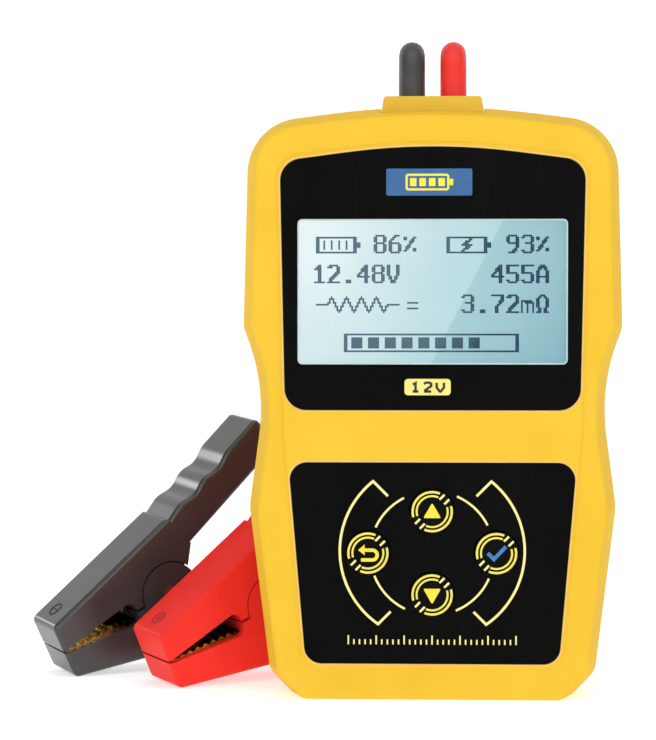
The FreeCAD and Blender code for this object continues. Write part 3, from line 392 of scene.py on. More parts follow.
def add_range(tree, value, low, high, out_low, out_high):
    """A value carried from one range to another, clamped. The ends may be numbers or sockets."""
    node = tree.nodes.new("ShaderNodeMapRange")
    tree.links.new(value, node.inputs["Value"])
    for label, end in (("From Min", low), ("From Max", high), ("To Min", out_low), ("To Max", out_high)):
        feed(tree, end, node.inputs[label])
    return node.outputs["Result"]


def spread_noise(tree, noise, out_low, out_high):
    """The middle part of a noise carried to another range."""
    return add_range(tree, noise, NOISE_LOW, NOISE_HIGH, out_low, out_high)


def add_math(tree, kind, first, second):
    """One arithmetic step on two sockets or numbers."""
    node = tree.nodes.new("ShaderNodeMath")
    node.operation = kind
    for socket, value in zip(node.inputs, (first, second)):
        feed(tree, value, socket)
    return node.outputs["Value"]


def object_place(tree):
    """The place on the object, in its own coordinates."""
    return tree.nodes.new("ShaderNodeTexCoord").outputs["Object"]


def object_axes(tree):
    """The place on the object, and its coordinates one by one."""
    place = object_place(tree)
    axes = tree.nodes.new("ShaderNodeSeparateXYZ")
    tree.links.new(place, axes.inputs["Vector"])
    return place, axes.outputs


def turn_place(tree, place, rotation=(0.0, 0.0, 0.0), scale=(1.0, 1.0, 1.0)):
    """A place stretched and turned."""
    node = tree.nodes.new("ShaderNodeMapping")
    node.inputs["Rotation"].default_value = rotation
    node.inputs["Scale"].default_value = scale
    tree.links.new(place, node.inputs["Vector"])
    return node.outputs["Vector"]


def link_gloss(group, noise, band, into, out):
    """A group's roughness: the band of a noise carried between the group's two ends of gloss."""
    gloss = add_range(group, noise, *band, into.outputs["Gloss Low"], into.outputs["Gloss High"])
    group.links.new(gloss, out.inputs["Roughness"])


def make_moulded_grain():
    """Moulded plastic: a fine spark-eroded grain for the bump, and slow patches for tone and gloss."""
    group, into, out = new_group(
        "moulded_grain",
        [("Grain Scale", 4000.0), ("Patch Scale", 60.0), ("Gloss Low", 0.35), ("Gloss High", 0.5)],
        [("Height", "NodeSocketFloat"), ("Patches", "NodeSocketFloat"), ("Roughness", "NodeSocketFloat")])
    place = object_place(group)
    grain = add_noise(group, place, into.outputs["Grain Scale"], detail=2.0)
    patches = add_noise(group, place, into.outputs["Patch Scale"], detail=3.0)
    halves = [add_math(group, "MULTIPLY", noise, 0.5) for noise in (grain, patches)]
    group.links.new(grain, out.inputs["Height"])
    group.links.new(patches, out.inputs["Patches"])
    link_gloss(group, add_math(group, "ADD", *halves), GLOSS_BAND, into, out)
    return group


def make_handled_gloss():
    """Smooth faces that fingers touch: long faint smears in the gloss and a trace of fine dust."""
    group, into, out = new_group(
        "handled_gloss",
        [("Smear Scale", 45.0), ("Gloss Low", 0.2), ("Gloss High", 0.32)],
        [("Smears", "NodeSocketFloat"), ("Dust", "NodeSocketFloat"), ("Roughness", "NodeSocketFloat")])
    place = object_place(group)
    turned = turn_place(group, place, SMEAR_TURN, SMEAR_STRETCH)
    smears = add_noise(group, turned, into.outputs["Smear Scale"], detail=4.0, rough=0.55)
    specks = add_noise(group, place, DUST_SCALE, detail=1.0)
    group.links.new(smears, out.inputs["Smears"])
    group.links.new(add_range(group, specks, *DUST_BAND, 0.0, 1.0), out.inputs["Dust"])
    link_gloss(group, smears, GLOSS_BAND, into, out)
    return group


def make_metal_lines():
    """Worked metal: lines drawn out along one axis for the bump, and slow patches for tone and gloss."""
    group, into, out = new_group(
        "metal_lines",
        [("Line Scale", 900.0), ("Gloss Low", 0.22), ("Gloss High", 0.4)],
        [("Height", "NodeSocketFloat"), ("Patches", "NodeSocketFloat"), ("Roughness", "NodeSocketFloat")])
    place = object_place(group)
    drawn = turn_place(group, place, scale=LINE_STRETCH)
    lines = add_noise(group, drawn, into.outputs["Line Scale"], detail=3.0)
    patches = add_noise(group, place, METAL_PATCH_SCALE, detail=3.0)
    group.links.new(lines, out.inputs["Height"])
    group.links.new(patches, out.inputs["Patches"])
    link_gloss(group, lines, (NOISE_LOW, NOISE_HIGH), into, out)
    return group


MOULDED_GRAIN = make_moulded_grain()
HANDLED_GLOSS = make_handled_gloss()
METAL_LINES = make_metal_lines()


# Finishes


def new_finish(name):
    """An empty material with its Principled shader."""
    material = bpy.data.materials.new(name)
    material.use_nodes = True
    tree = material.node_tree
    return material, tree, tree.nodes["Principled BSDF"]


def use_group(tree, group, **values):
    """The shared group in this material, with its own values; an underscore stands for a space."""
    node = tree.nodes.new("ShaderNodeGroup")
    node.node_tree = group
    for label, value in values.items():
        node.inputs[label.replace("_", " ")].default_value = value
    return node


def tint(tree, mask, low, high, dark, light, target):
    """A colour between two, by a mask over its range, linked to a socket."""
    ramp = tree.nodes.new("ShaderNodeValToRGB")
    ramp.color_ramp.elements[0].position = low
    ramp.color_ramp.elements[0].color = (*dark, 1)
    ramp.color_ramp.elements[1].position = high
    ramp.color_ramp.elements[1].color = (*light, 1)
    tree.links.new(mask, ramp.inputs["Fac"])
    tree.links.new(ramp.outputs["Color"], target)


def bump(tree, height, shader, strength, distance):
    """A height read as a small relief on the surface."""
    node = tree.nodes.new("ShaderNodeBump")
    node.inputs["Strength"].default_value = strength
    node.inputs["Distance"].default_value = distance
    tree.links.new(height, node.inputs["Height"])
    tree.links.new(node.outputs["Normal"], shader.inputs["Normal"])


def moulded_plastic(name, dark, light, gloss=(0.35, 0.48), grain=3500.0, patch=55.0, relief=0.12,
                    specular=0.5):
    """Moulded plastic or rubber in one colour."""
    material, tree, shader = new_finish(name)
    node = use_group(tree, MOULDED_GRAIN, Grain_Scale=grain, Patch_Scale=patch, Gloss_Low=gloss[0],
                     Gloss_High=gloss[1])
    tint(tree, node.outputs["Patches"], NOISE_LOW, NOISE_HIGH, dark, light, shader.inputs["Base Color"])
    tree.links.new(node.outputs["Roughness"], shader.inputs["Roughness"])
    bump(tree, node.outputs["Height"], shader, relief, GRAIN_DEPTH)
    shader.inputs["Specular IOR Level"].default_value = specular
    return material


def gloss_black(name, dark, light, gloss=(0.2, 0.32)):
    """A smooth black face with faint finger smears and dust."""
    material, tree, shader = new_finish(name)
    node = use_group(tree, HANDLED_GLOSS, Gloss_Low=gloss[0], Gloss_High=gloss[1])
    tint(tree, node.outputs["Smears"], *SMEAR_BAND, dark, light, shader.inputs["Base Color"])
    tree.links.new(node.outputs["Roughness"], shader.inputs["Roughness"])
    bump(tree, node.outputs["Dust"], shader, *DUST_RELIEF)
    shader.inputs["Specular IOR Level"].default_value = PANEL_SPECULAR
    return material


def worked_metal(name, dark, light):
    """Metal with drawn lines."""
    material, tree, shader = new_finish(name)
    node = use_group(tree, METAL_LINES)
    tint(tree, node.outputs["Patches"], NOISE_LOW, NOISE_HIGH, dark, light, shader.inputs["Base Color"])
    tree.links.new(node.outputs["Roughness"], shader.inputs["Roughness"])
    bump(tree, node.outputs["Height"], shader, *LINE_RELIEF)
    shader.inputs["Metallic"].default_value = 1.0
    return material


def brass_with_painted_shade(name):
    """Stamped brass, bright at the clamps' tips and darker higher up towards the back of their mouths: painted
    shade, standing in for the shadow inside the mouths.
    """
    material, tree, shader = new_finish(name)
    node = use_group(tree, METAL_LINES, Gloss_Low=0.18, Gloss_High=0.34)
    axes = object_axes(tree)[1]
    high = add_math(tree, "ADD", axes["Z"], spread_noise(tree, node.outputs["Patches"], -MM, MM))
    # Painted shade: the brass and its reflection darken towards the back of the clamps' mouths, which lie in
    # shadow
    dark = add_math(tree, "SUBTRACT", add_range(tree, high, MOUTH_SHADE_LOW, MOUTH_SHADE_HIGH, 0.0, 1.0),
                    add_range(tree, high, MOUTH_SHADE_END, 2 * MOUTH_SHADE_END, 0.0, 1.0))
    tint(tree, dark, 0.0, 1.0, *BRASS_AND_SHADE_TONES, shader.inputs["Base Color"])
    tint(tree, dark, 0.0, 1.0, *BRASS_SPECULAR_AND_SHADE_TINTS, shader.inputs["Specular Tint"])
    tree.links.new(node.outputs["Roughness"], shader.inputs["Roughness"])
    bump(tree, node.outputs["Height"], shader, *LINE_RELIEF)
    shader.inputs["Metallic"].default_value = 1.0
    return material


def screen_ink(name, dark, light, gloss=(0.3, 0.42)):
    """Screen-printed ink: slightly uneven in density, with the grain of the mesh it came through."""
    material, tree, shader = new_finish(name)
    node = use_group(tree, MOULDED_GRAIN, Grain_Scale=5200.0, Patch_Scale=240.0, Gloss_Low=gloss[0],
                     Gloss_High=gloss[1])
    tint(tree, node.outputs["Patches"], NOISE_LOW, NOISE_HIGH, dark, light, shader.inputs["Base Color"])
    tree.links.new(node.outputs["Roughness"], shader.inputs["Roughness"])
    bump(tree, node.outputs["Height"], shader, *MESH_RELIEF)
    return material


def dot_ink(name):
    """The display's lit dots: dark blue on the right, and paler to the left, a painted sheen that goes with
    the reflection painted into the display.
    """
    material, tree, shader = new_finish(name)
    place, axes = object_axes(tree)
    noise = add_noise(tree, place, DOT_CLOUD_SCALE, detail=2.0)
    across = add_math(tree, "ADD", axes["X"], spread_noise(tree, noise, -DOT_CLOUD_WIDTH, DOT_CLOUD_WIDTH))
    tint(tree, across, *DOT_SHEEN_FADE, *DOT_AND_SHEEN_TONES, shader.inputs["Base Color"])
    shader.inputs["Roughness"].default_value = DOT_ROUGHNESS
    shader.inputs["Specular IOR Level"].default_value = 0.0
    return material


def clear_plastic(name):
    """The clear window: almost unseen, with a polished face that carries faint smears."""
    material, tree, shader = new_finish(name)
    node = use_group(tree, HANDLED_GLOSS, Smear_Scale=30.0, Gloss_Low=0.03, Gloss_High=0.08)
    tint(tree, node.outputs["Smears"], NOISE_LOW, NOISE_HIGH, *CLEAR_TONES, shader.inputs["Base Color"])
    tree.links.new(node.outputs["Roughness"], shader.inputs["Roughness"])
    shader.inputs["Alpha"].default_value = CLEAR_ALPHA
    return material


def lit_display(name):
    """The backlit display, with a painted sheen: pale on the left, deeper to the right, with a slanting step
    in tone, standing in for a reflection on the glass.
    """
    material, tree, shader = new_finish(name)
    place, axes = object_axes(tree)
    up = add_math(tree, "SUBTRACT", axes["Z"], WINDOW_MIDDLE[1] * MM)
    slant = add_math(tree, "ADD", axes["X"], add_math(tree, "MULTIPLY", up, SHEEN_LEAN))
    fade = add_range(tree, slant, *SHEEN_FADE, 0.0, 1 - SHEEN_STEP_TONE)
    step = add_range(tree, slant, *SHEEN_STEP, 0.0, SHEEN_STEP_TONE)
    noise = add_noise(tree, place, SHEEN_CLOUD_SCALE, detail=2.0)
    cloud = spread_noise(tree, noise, -SHEEN_CLOUD_TONE, SHEEN_CLOUD_TONE)
    tone = add_math(tree, "ADD", add_math(tree, "ADD", fade, step), cloud)
    ramp = tree.nodes.new("ShaderNodeValToRGB")
    stops = ramp.color_ramp.elements
    stops.new(0.5)
    for stop, colour in zip(stops, SHEEN_TONES):
        stop.color = (*colour, 1)
    tree.links.new(tone, ramp.inputs["Fac"])
    tree.links.new(ramp.outputs["Color"], shader.inputs["Emission Color"])
    shader.inputs["Base Color"].default_value = (*DISPLAY_BASE, 1)
    shader.inputs["Emission Strength"].default_value = DISPLAY_GLOW
    shader.inputs["Roughness"].default_value = DISPLAY_ROUGHNESS
    return material


def circuit_board(name):
    """Green solder mask over a faint pattern of copper tracks."""
    material, tree, shader = new_finish(name)
    place = object_place(tree)
    tracks = tree.nodes.new("ShaderNodeTexBrick")
    tracks.inputs["Scale"].default_value = TRACK_SCALE
    tracks.inputs["Mortar Size"].default_value = TRACK_WIDTH
    for label, colour in TRACK_TONES.items():
        tracks.inputs[label].default_value = (*colour, 1)
    tree.links.new(turn_place(tree, place, TRACK_TURN), tracks.inputs["Vector"])
    tree.links.new(tracks.outputs["Color"], shader.inputs["Base Color"])
    cloud = add_noise(tree, place, MASK_CLOUD_SCALE, detail=3.0)
    tree.links.new(spread_noise(tree, cloud, *MASK_ROUGHNESS), shader.inputs["Roughness"])
    bump(tree, tracks.outputs["Fac"], shader, *TRACK_RELIEF)
    return material


PLASTICS = {
    "yellow_plastic": {"dark": (0.77, 0.478, 0.038), "light": (0.815, 0.51, 0.046), "gloss": (0.45, 0.58),
                       "specular": 0.012},
    "collar_plastic": {"dark": (0.67, 0.44, 0.05), "light": (0.73, 0.475, 0.06), "gloss": (0.45, 0.58),
                       "specular": 0.05},
    "black_plastic": {"dark": (0.015, 0.015, 0.016), "light": (0.03, 0.03, 0.032)},
    "white_plastic": {"dark": (0.7, 0.7, 0.67), "light": (0.82, 0.82, 0.8)},
    "light_guide": {"dark": (0.72, 0.8, 0.82), "light": (0.82, 0.88, 0.9), "gloss": (0.2, 0.3)},
    "black_clamp_plastic": {"dark": (0.03, 0.03, 0.031), "light": (0.038, 0.038, 0.039),
                            "gloss": (0.2, 0.28), "specular": 0.6},
    "red_clamp_plastic": {"dark": (0.76, 0.03, 0.023), "light": (0.84, 0.04, 0.031), "gloss": (0.34, 0.46),
                          "specular": 0.06},
    "black_lead_jacket": {"dark": (0.03, 0.03, 0.027), "light": (0.038, 0.037, 0.034), "gloss": (0.4, 0.55),
                          "grain": 2200.0},
    "red_lead_jacket": {"dark": (0.72, 0.02, 0.015), "light": (0.8, 0.027, 0.02), "gloss": (0.4, 0.55),
                        "grain": 2200.0, "specular": 0.3},
}
FINISHES = {name: moulded_plastic(name, **look) for name, look in PLASTICS.items()}
FINISHES.update({
    "black_panel": gloss_black("black_panel", (0.002, 0.002, 0.002), (0.0035, 0.0035, 0.0035)),
    "black_key": gloss_black("black_key", (0.003, 0.003, 0.0028), (0.005, 0.005, 0.0048), (0.28, 0.4)),
    "clear_window": clear_plastic("clear_window"),
    "display_glass": lit_display("display_glass"),
    "circuit_board": circuit_board("circuit_board"),
    "aluminium_can": worked_metal("aluminium_can", (0.66, 0.67, 0.69), (0.78, 0.79, 0.8)),
    "steel": worked_metal("steel", (0.42, 0.43, 0.44), (0.6, 0.6, 0.61)),
    "brass": brass_with_painted_shade("brass"),
})
PALE_INK = screen_ink("pale_yellow_ink", (0.84, 0.72, 0.24), (0.92, 0.8, 0.3))
YELLOW_INK = screen_ink("bright_yellow_ink", (0.84, 0.66, 0.02), (0.92, 0.74, 0.03))
RING_INK = screen_ink("ring_yellow_ink", (0.74, 0.64, 0.08), (0.82, 0.71, 0.11))
BLUE_INK = screen_ink("blue_ink", (0.012, 0.14, 0.38), (0.02, 0.18, 0.46))
PLATE_BLUE = screen_ink("plate_blue", (0.009, 0.088, 0.25), (0.015, 0.108, 0.3))
BLACK_INK = screen_ink("black_ink", (0.008, 0.008, 0.008), (0.015, 0.015, 0.015))
DOT_INK = dot_ink("display_dot_ink")
BADGE_INK = screen_ink("badge_yellow_ink", (0.8, 0.68, 0.16), (0.88, 0.76, 0.2))
# Painted highlight for the edge of each panel's recess
EDGE_HIGHLIGHT_INK = screen_ink("panel_edge_highlight", (0.7, 0.45, 0.12), (0.78, 0.52, 0.16))
MARK_INKS = {
    "black": screen_ink("black_clamp_mark", (0.006, 0.006, 0.006), (0.012, 0.012, 0.012), (0.5, 0.6)),
    "red": screen_ink("red_clamp_mark", (0.3, 0.006, 0.005), (0.38, 0.01, 0.008), (0.5, 0.6)),
}
BORDER_INK = screen_ink("window_border_ink", (0.42, 0.5, 0.5), (0.52, 0.6, 0.6))

for subpart in frame["record"]["subparts"]:
    node = frame["nodes"][subpart["node"]]
    node.data.materials.clear()
    node.data.materials.append(FINISHES[subpart["material_slot"]])
for colour, lead in leads.items():
    lead.data.materials.append(FINISHES[colour + "_lead_jacket"])


# Prints, painted edge highlights and fine trims: thin closed shells on the faces of the CAD model


def join_shells(name, shells, material):
    """One piece of the look from closed shells (points, blocks of faces), turned outward."""
    counts = np.cumsum([0] + [len(points) for points, blocks in shells])
    faces = [row for (points, blocks), start in zip(shells, counts) for block in blocks
             for row in (block + start).tolist()]
    mesh = bpy.data.meshes.new(name)
    mesh.from_pydata(np.concatenate([points for points, blocks in shells]).tolist(), [], faces)
    shell = bmesh.new()
    shell.from_mesh(mesh)
    bmesh.ops.recalc_face_normals(shell, faces=shell.faces)
    shell.to_mesh(mesh)
    shell.free()
    mesh.materials.append(material)
    piece = bpy.data.objects.new(name, mesh)
    bpy.context.scene.collection.objects.link(piece)
    return piece


def put(name, shells, material, body=TESTER):
    """A piece from closed shells that rides on its body."""
    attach(join_shells(name, shells, material), body)


def flat_face(depth):
    """The upright plane at one depth: (across, up) at a rise over it, towards the front."""
    def place(flat, rise):
        return np.stack([flat[:, 0], np.full(len(flat), depth - rise), flat[:, 1]], 1)
    return place


def key_face(key):
    """A key's dished top: flat in the middle, then an arc up to the brim, as a depth over the radius."""
    middle = np.array(KEY_PLACES[key]) * MM
    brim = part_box("key_" + key)[0].y

    def place(flat, rise):
        out = np.clip(np.hypot(flat[:, 0], flat[:, 1]) - DISH_FLAT, 0, DISH_ROUND)
        up = np.minimum(DISH_ROUND - np.sqrt(DISH_ROUND ** 2 - out ** 2), DISH_DEPTH)
        depth = brim + DISH_DEPTH - up
        return np.stack([middle[0] + flat[:, 0], depth - rise, middle[1] + flat[:, 1]], 1)
    return place


def clamp_frame(colour):
    """How a clamp is turned, as a matrix, and the place of its pivot."""
    yaw, pitch, roll = (math.radians(angle) for angle in CLAMP_TURN[colour])
    return np.array(Euler((roll, pitch, yaw), "XYZ").to_matrix()), np.array(CLAMP_PIVOT[colour]) * MM


def jaw_face(colour):
    """The sloping top of a clamp's upper jaw: (along to the tip, across), turned with the clamp."""
    turned, pivot = clamp_frame(colour)
    slope = math.tan(JAW_ANGLE)
    upright = np.array([math.sin(JAW_ANGLE), 0, math.cos(JAW_ANGLE)])

    def place(flat, rise):
        along = flat[:, 0] + MARK_PLACE[0] * MM
        height = JAW_TIP[1] * MM + (JAW_TIP[0] * MM - along) * slope
        local = np.stack([along, flat[:, 1] + MARK_PLACE[1] * MM, height], 1) + upright * rise
        return local @ turned.T + pivot
    return place


def ink_line(path, width, place, closed=False, over=INK, under=INK_UNDER):
    """A flat line: the path carried to both sides by half its width, mitred, over and under a face."""
    path = np.asarray(path, float)
    if closed:
        before = path - np.roll(path, 1, 0)
        after = np.roll(path, -1, 0) - path
    else:
        step = np.diff(path, axis=0)
        before = np.concatenate([step[:1], step])
        after = np.concatenate([step, step[-1:]])
    before = before / np.linalg.norm(before, axis=1)[:, None]
    after = after / np.linalg.norm(after, axis=1)[:, None]
    mean = before + after
    mean = mean / np.linalg.norm(mean, axis=1)[:, None]
    stretch = width / 2 / np.maximum((mean * after).sum(1), MITRE_LEAST)
    side = np.stack([-mean[:, 1], mean[:, 0]], 1) * stretch[:, None]
    ring = [place(path + side, over), place(path - side, over), place(path - side, -under),
            place(path + side, -under)]
    index = np.arange(4 * len(path)).reshape(-1, 4)
    ahead = np.roll(index, -1, 0)
    quads = np.stack([index, np.roll(index, -1, 1), np.roll(ahead, -1, 1), ahead], -1)
    blocks = [quads.reshape(-1, 4)] if closed else [quads[:-1].reshape(-1, 4), index[[0, -1]]]
    return np.stack(ring, 1).reshape(-1, 3), blocks


def ink_patch(edge, place, over=INK, under=INK_UNDER):
    """A flat filled shape: its edge carried from under a face to over it, closed by a face on each side."""
    edge = np.asarray(edge, float)
    count = len(edge)
    low = np.arange(count)
    sides = np.stack([low, np.roll(low, -1), np.roll(low, -1) + count, low + count], -1)
    return np.concatenate([place(edge, -under), place(edge, over)]), [sides, np.stack([low, low + count])]


def arc(middle, radius, start, stop, count=48):
    """Points on a circle between two angles in degrees."""
    angle = np.radians(np.linspace(start, stop, count))
    return np.stack([middle[0] + radius * np.cos(angle), middle[1] + radius * np.sin(angle)], 1)


def rounded(corners, count=10):
    """A closed outline with an arc in each corner (across, up, radius), its centre on the bisector."""
    corners = np.asarray(corners, float)
    spot = corners[:, :2]
    into = np.roll(spot, 1, 0) - spot
    away = np.roll(spot, -1, 0) - spot
    into = into / np.linalg.norm(into, axis=1)[:, None]
    away = away / np.linalg.norm(away, axis=1)[:, None]
    half = np.arccos(np.clip((into * away).sum(1), -1, 1)) / 2
    bisector = (into + away) / np.linalg.norm(into + away, axis=1)[:, None]
    middle = spot + bisector * (corners[:, 2] / np.sin(half))[:, None]
    first = spot + into * (corners[:, 2] / np.tan(half))[:, None] - middle
    turn = np.sign(into[:, 0] * away[:, 1] - into[:, 1] * away[:, 0]) * (half * 2 - np.pi)
    angle = np.arctan2(first[:, 1], first[:, 0])[:, None] + turn[:, None] * np.linspace(0, 1, count)
    ring = np.stack([np.cos(angle), np.sin(angle)], -1) * corners[:, 2][:, None, None] + middle[:, None]
    return ring.reshape(-1, 2)


def box_edge(middle, width, height, radius):
    """A rounded rectangle about a middle, all in millimetres."""
    return rounded([(middle[0] + side * width / 2, middle[1] + end * height / 2, radius)
                    for side, end in ((-1, -1), (1, -1), (1, 1), (-1, 1))])


def make_key_prints(key):
    """Two broken rings with dashes in their gaps, and the key's own sign in its middle."""
    place = key_face(key)
    rings = []
    for radius, width in RINGS:
        for start, stop in RING_ARCS:
            rings.append(ink_line(arc((0, 0), radius, start, stop) * MM, width * MM, place, over=KEY_INK,
                                  under=KEY_INK))
    dashes = []
    along = np.linspace(-DASH_HALF, DASH_HALF, DASH_STEPS)[:, None]
    slant = np.array([math.cos(math.pi / 4), math.sin(math.pi / 4)])
    aside = np.array([-slant[1], slant[0]])
    for way in (-1, 1):
        for shift in (-DASH_ASIDE, DASH_ASIDE):
            path = slant * way * DASH_OUT + aside * shift + along * slant
            dashes.append(ink_line(path * MM, DASH_WIDTH * MM, place, over=KEY_INK, under=KEY_INK))
    ink = YELLOW_INK
    if key == "back":
        bow = np.concatenate([[BACK_START], arc(BACK_BEND, BACK_RADIUS, 90, -90, BACK_STEPS), [BACK_END]])
        signs = [ink_line(bow * MM, BACK_WIDTH * MM, place), ink_patch(np.array(BACK_HEAD) * MM, place)]
    elif key == "ok":
        signs = [ink_line(np.array(OK_PATH) * MM, OK_WIDTH * MM, place)]
        ink = BLUE_INK
    else:
        edge = UP_EDGE if key == "up" else DOWN_EDGE
        signs = [ink_patch(rounded(edge, ARROW_STEPS) * MM, place)]
    put(key + "_key_rings", rings, RING_INK, key + "_key")
    put(key + "_key_dashes", dashes, PALE_INK, key + "_key")
    put(key + "_key_sign", signs, ink, key + "_key")


def make_keypad_lines():
    """Arcs between the keys, a bracket on each side with its ends turned in, and a plain scale below."""
    place = flat_face(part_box("keypad_panel")[0].y)
    lines = []
    for start, stop in LINK_ARCS:
        lines.append(ink_line(arc(KEYPAD_MIDDLE, LINK_RADIUS, start, stop) * MM, LINK_WIDTH * MM, place))
    bow = arc(BRACKET_MIDDLE, BRACKET_RADIUS, *BRACKET_ENDS, BRACKET_STEPS)
    top = bow[0] + np.array([1, -1]) * BRACKET_TOP / math.sqrt(2)
    low = bow[-1] + np.array([1, 1]) * BRACKET_LOW / math.sqrt(2)
    bracket = np.concatenate([[top], bow, [low]])
    for side in (1, -1):
        lines.append(ink_line((bracket * (side, 1) + KEYPAD_MIDDLE) * MM, BRACKET_WIDTH * MM, place))
    put("keypad_lines", lines, PALE_INK)
    marks = []
    for count in range(-SCALE_SIDE, SCALE_SIDE + 1):
        across = count * SCALE_PITCH
        head = SCALE_FOOT + (SCALE_SHORT if count % SCALE_GROUP else SCALE_LONG)
        path = np.array([(across, SCALE_FOOT), (across, head)])
        marks.append(ink_line(path * MM, SCALE_WIDTH * MM, place))
    put("keypad_scale", marks, PALE_INK)


def make_plates():
    """A blue plate with a plain cell above the display, and a yellow one with a plain voltage below it."""
    place = flat_face(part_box("display_panel")[0].y)
    put("top_plate", [ink_patch(box_edge(PLATE_MIDDLE, *PLATE_SIZE) * MM, place)], PLATE_BLUE)
    left, up = PLATE_MIDDLE
    outline = box_edge((left + CELL_ASIDE, up), *CELL_SIZE)
    fillings = [box_edge((left + NUB_ASIDE, up), *NUB_SIZE)]
    fillings += [box_edge((left + aside, up), *BAR_SIZE) for aside in BAR_ASIDES]
    cell = [ink_line(outline * MM, CELL_LINE * MM, place, closed=True, over=INK_ON_INK, under=0.0)]
    cell += [ink_patch(filling * MM, place, over=INK_ON_INK, under=0.0) for filling in fillings]
    put("top_plate_cell", cell, YELLOW_INK)
    put("low_plate", [ink_patch(box_edge(BADGE_MIDDLE, *BADGE_SIZE) * MM, place)], BADGE_INK)
    signs = []
    centre = np.array([(SIGN_COLUMNS - 1) / 2, (SIGN_ROWS - 1) / 2])
    for count, sign in enumerate("12V"):
        shift = np.array(BADGE_MIDDLE) + ((count - 1) * BADGE_PITCH, 0)
        for stroke in SIGNS[sign]:
            path = (np.array(stroke, float) - centre) * (BADGE_DOT[0], -BADGE_DOT[1]) + shift
            signs.append(ink_line(path * MM, BADGE_LINE * MM, place, over=INK_ON_INK, under=0.0))
    put("low_plate_signs", signs, BLACK_INK)


def make_edge_highlights_and_border():
    """A pale line round each panel, a painted highlight on the edge of its recess, and a thin border round the
    window.
    """
    plateau = flat_face(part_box("front_shell")[0].y)
    for name, corners in (("display_edge_highlight", DISPLAY_EDGE), ("keypad_edge_highlight", KEYPAD_EDGE)):
        edge = rounded(corners, EDGE_HIGHLIGHT_STEPS)
        put(name, [ink_line(edge * MM, EDGE_HIGHLIGHT_WIDTH * MM, plateau, closed=True)], EDGE_HIGHLIGHT_INK)
    window = flat_face(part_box("display_window")[0].y)
    border = box_edge(WINDOW_MIDDLE, *BORDER_SIZE)
    put("window_border", [ink_line(border * MM, BORDER_WIDTH * MM, window, closed=True)], BORDER_INK)


def lit_dots(strokes, columns):
    """The dots of a sign: those that a stroke passes within a share of a dot across and up."""
    share = np.linspace(0, 1, STROKE_STEPS)[:, None]
    runs = [np.array(stroke, float) for stroke in strokes]
    marks = np.concatenate([run[:-1][:, None] + share * np.diff(run, axis=0)[:, None] for run in runs])
    marks = marks.reshape(-1, 2)
    across, down = np.meshgrid(np.arange(columns), np.arange(SIGN_ROWS))
    dots = np.stack([across.ravel(), down.ravel()], 1)
    near = (np.abs(dots[:, None] - marks) <= DOT_REACH).all(2)
    return dots[near.any(1)]


def make_readings():
    """The display's lit dots: signs of strokes on a square grid, each dot a small flat box on the glass."""
    spots = []
    for text, left, top in READINGS:
        for count, sign in enumerate(text):
            spots.append(lit_dots(SIGNS[sign], SIGN_COLUMNS) + (left + SIGN_PITCH * count, top))
    for strokes, columns, left, top in PICTURES:
        spots.append(lit_dots(strokes, columns) + (left, top))
    grid = np.concatenate(spots)
    glass = np.full(len(grid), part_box("display_glass")[0].y)
    middle = np.stack([READING_LEFT + grid[:, 0] * DOT_PITCH, glass, READING_TOP - grid[:, 1] * DOT_PITCH], 1)
    half = DOT_SIZE / 2
    corner = np.array([(x * half, y, z * half) for y in (-INK, INK_UNDER)
                       for x, z in ((-1, -1), (1, -1), (1, 1), (-1, 1))])
    points = (middle[:, None] + corner).reshape(-1, 3)
    box = np.array([(0, 1, 2, 3), (7, 6, 5, 4), (0, 4, 5, 1), (1, 5, 6, 2), (2, 6, 7, 3), (3, 7, 4, 0)])
    faces = (box + 8 * np.arange(len(grid))[:, None, None]).reshape(-1, 4)
    put("display_dots", [(points, [faces])], DOT_INK)


def make_clamp_mark(colour):
    """A ring with a minus or a plus, raised on top of the upper jaw near its tip."""
    place = jaw_face(colour)
    circle = arc((0, 0), MARK_RADIUS, 0, 360 - 360 / MARK_STEPS, MARK_STEPS)
    ring = ink_line(circle * MM, MARK_LINE * MM, place, True, MARK_RISE, MARK_RISE)
    edge = np.array(PLUS_EDGE) if colour == "red" else box_edge((0, 0), *MINUS_SIZE)
    sign = ink_patch(edge * MM, place, MARK_RISE, MARK_RISE)
    put(colour + "_clamp_mark", [ring, sign], MARK_INKS[colour], colour + "_arm")


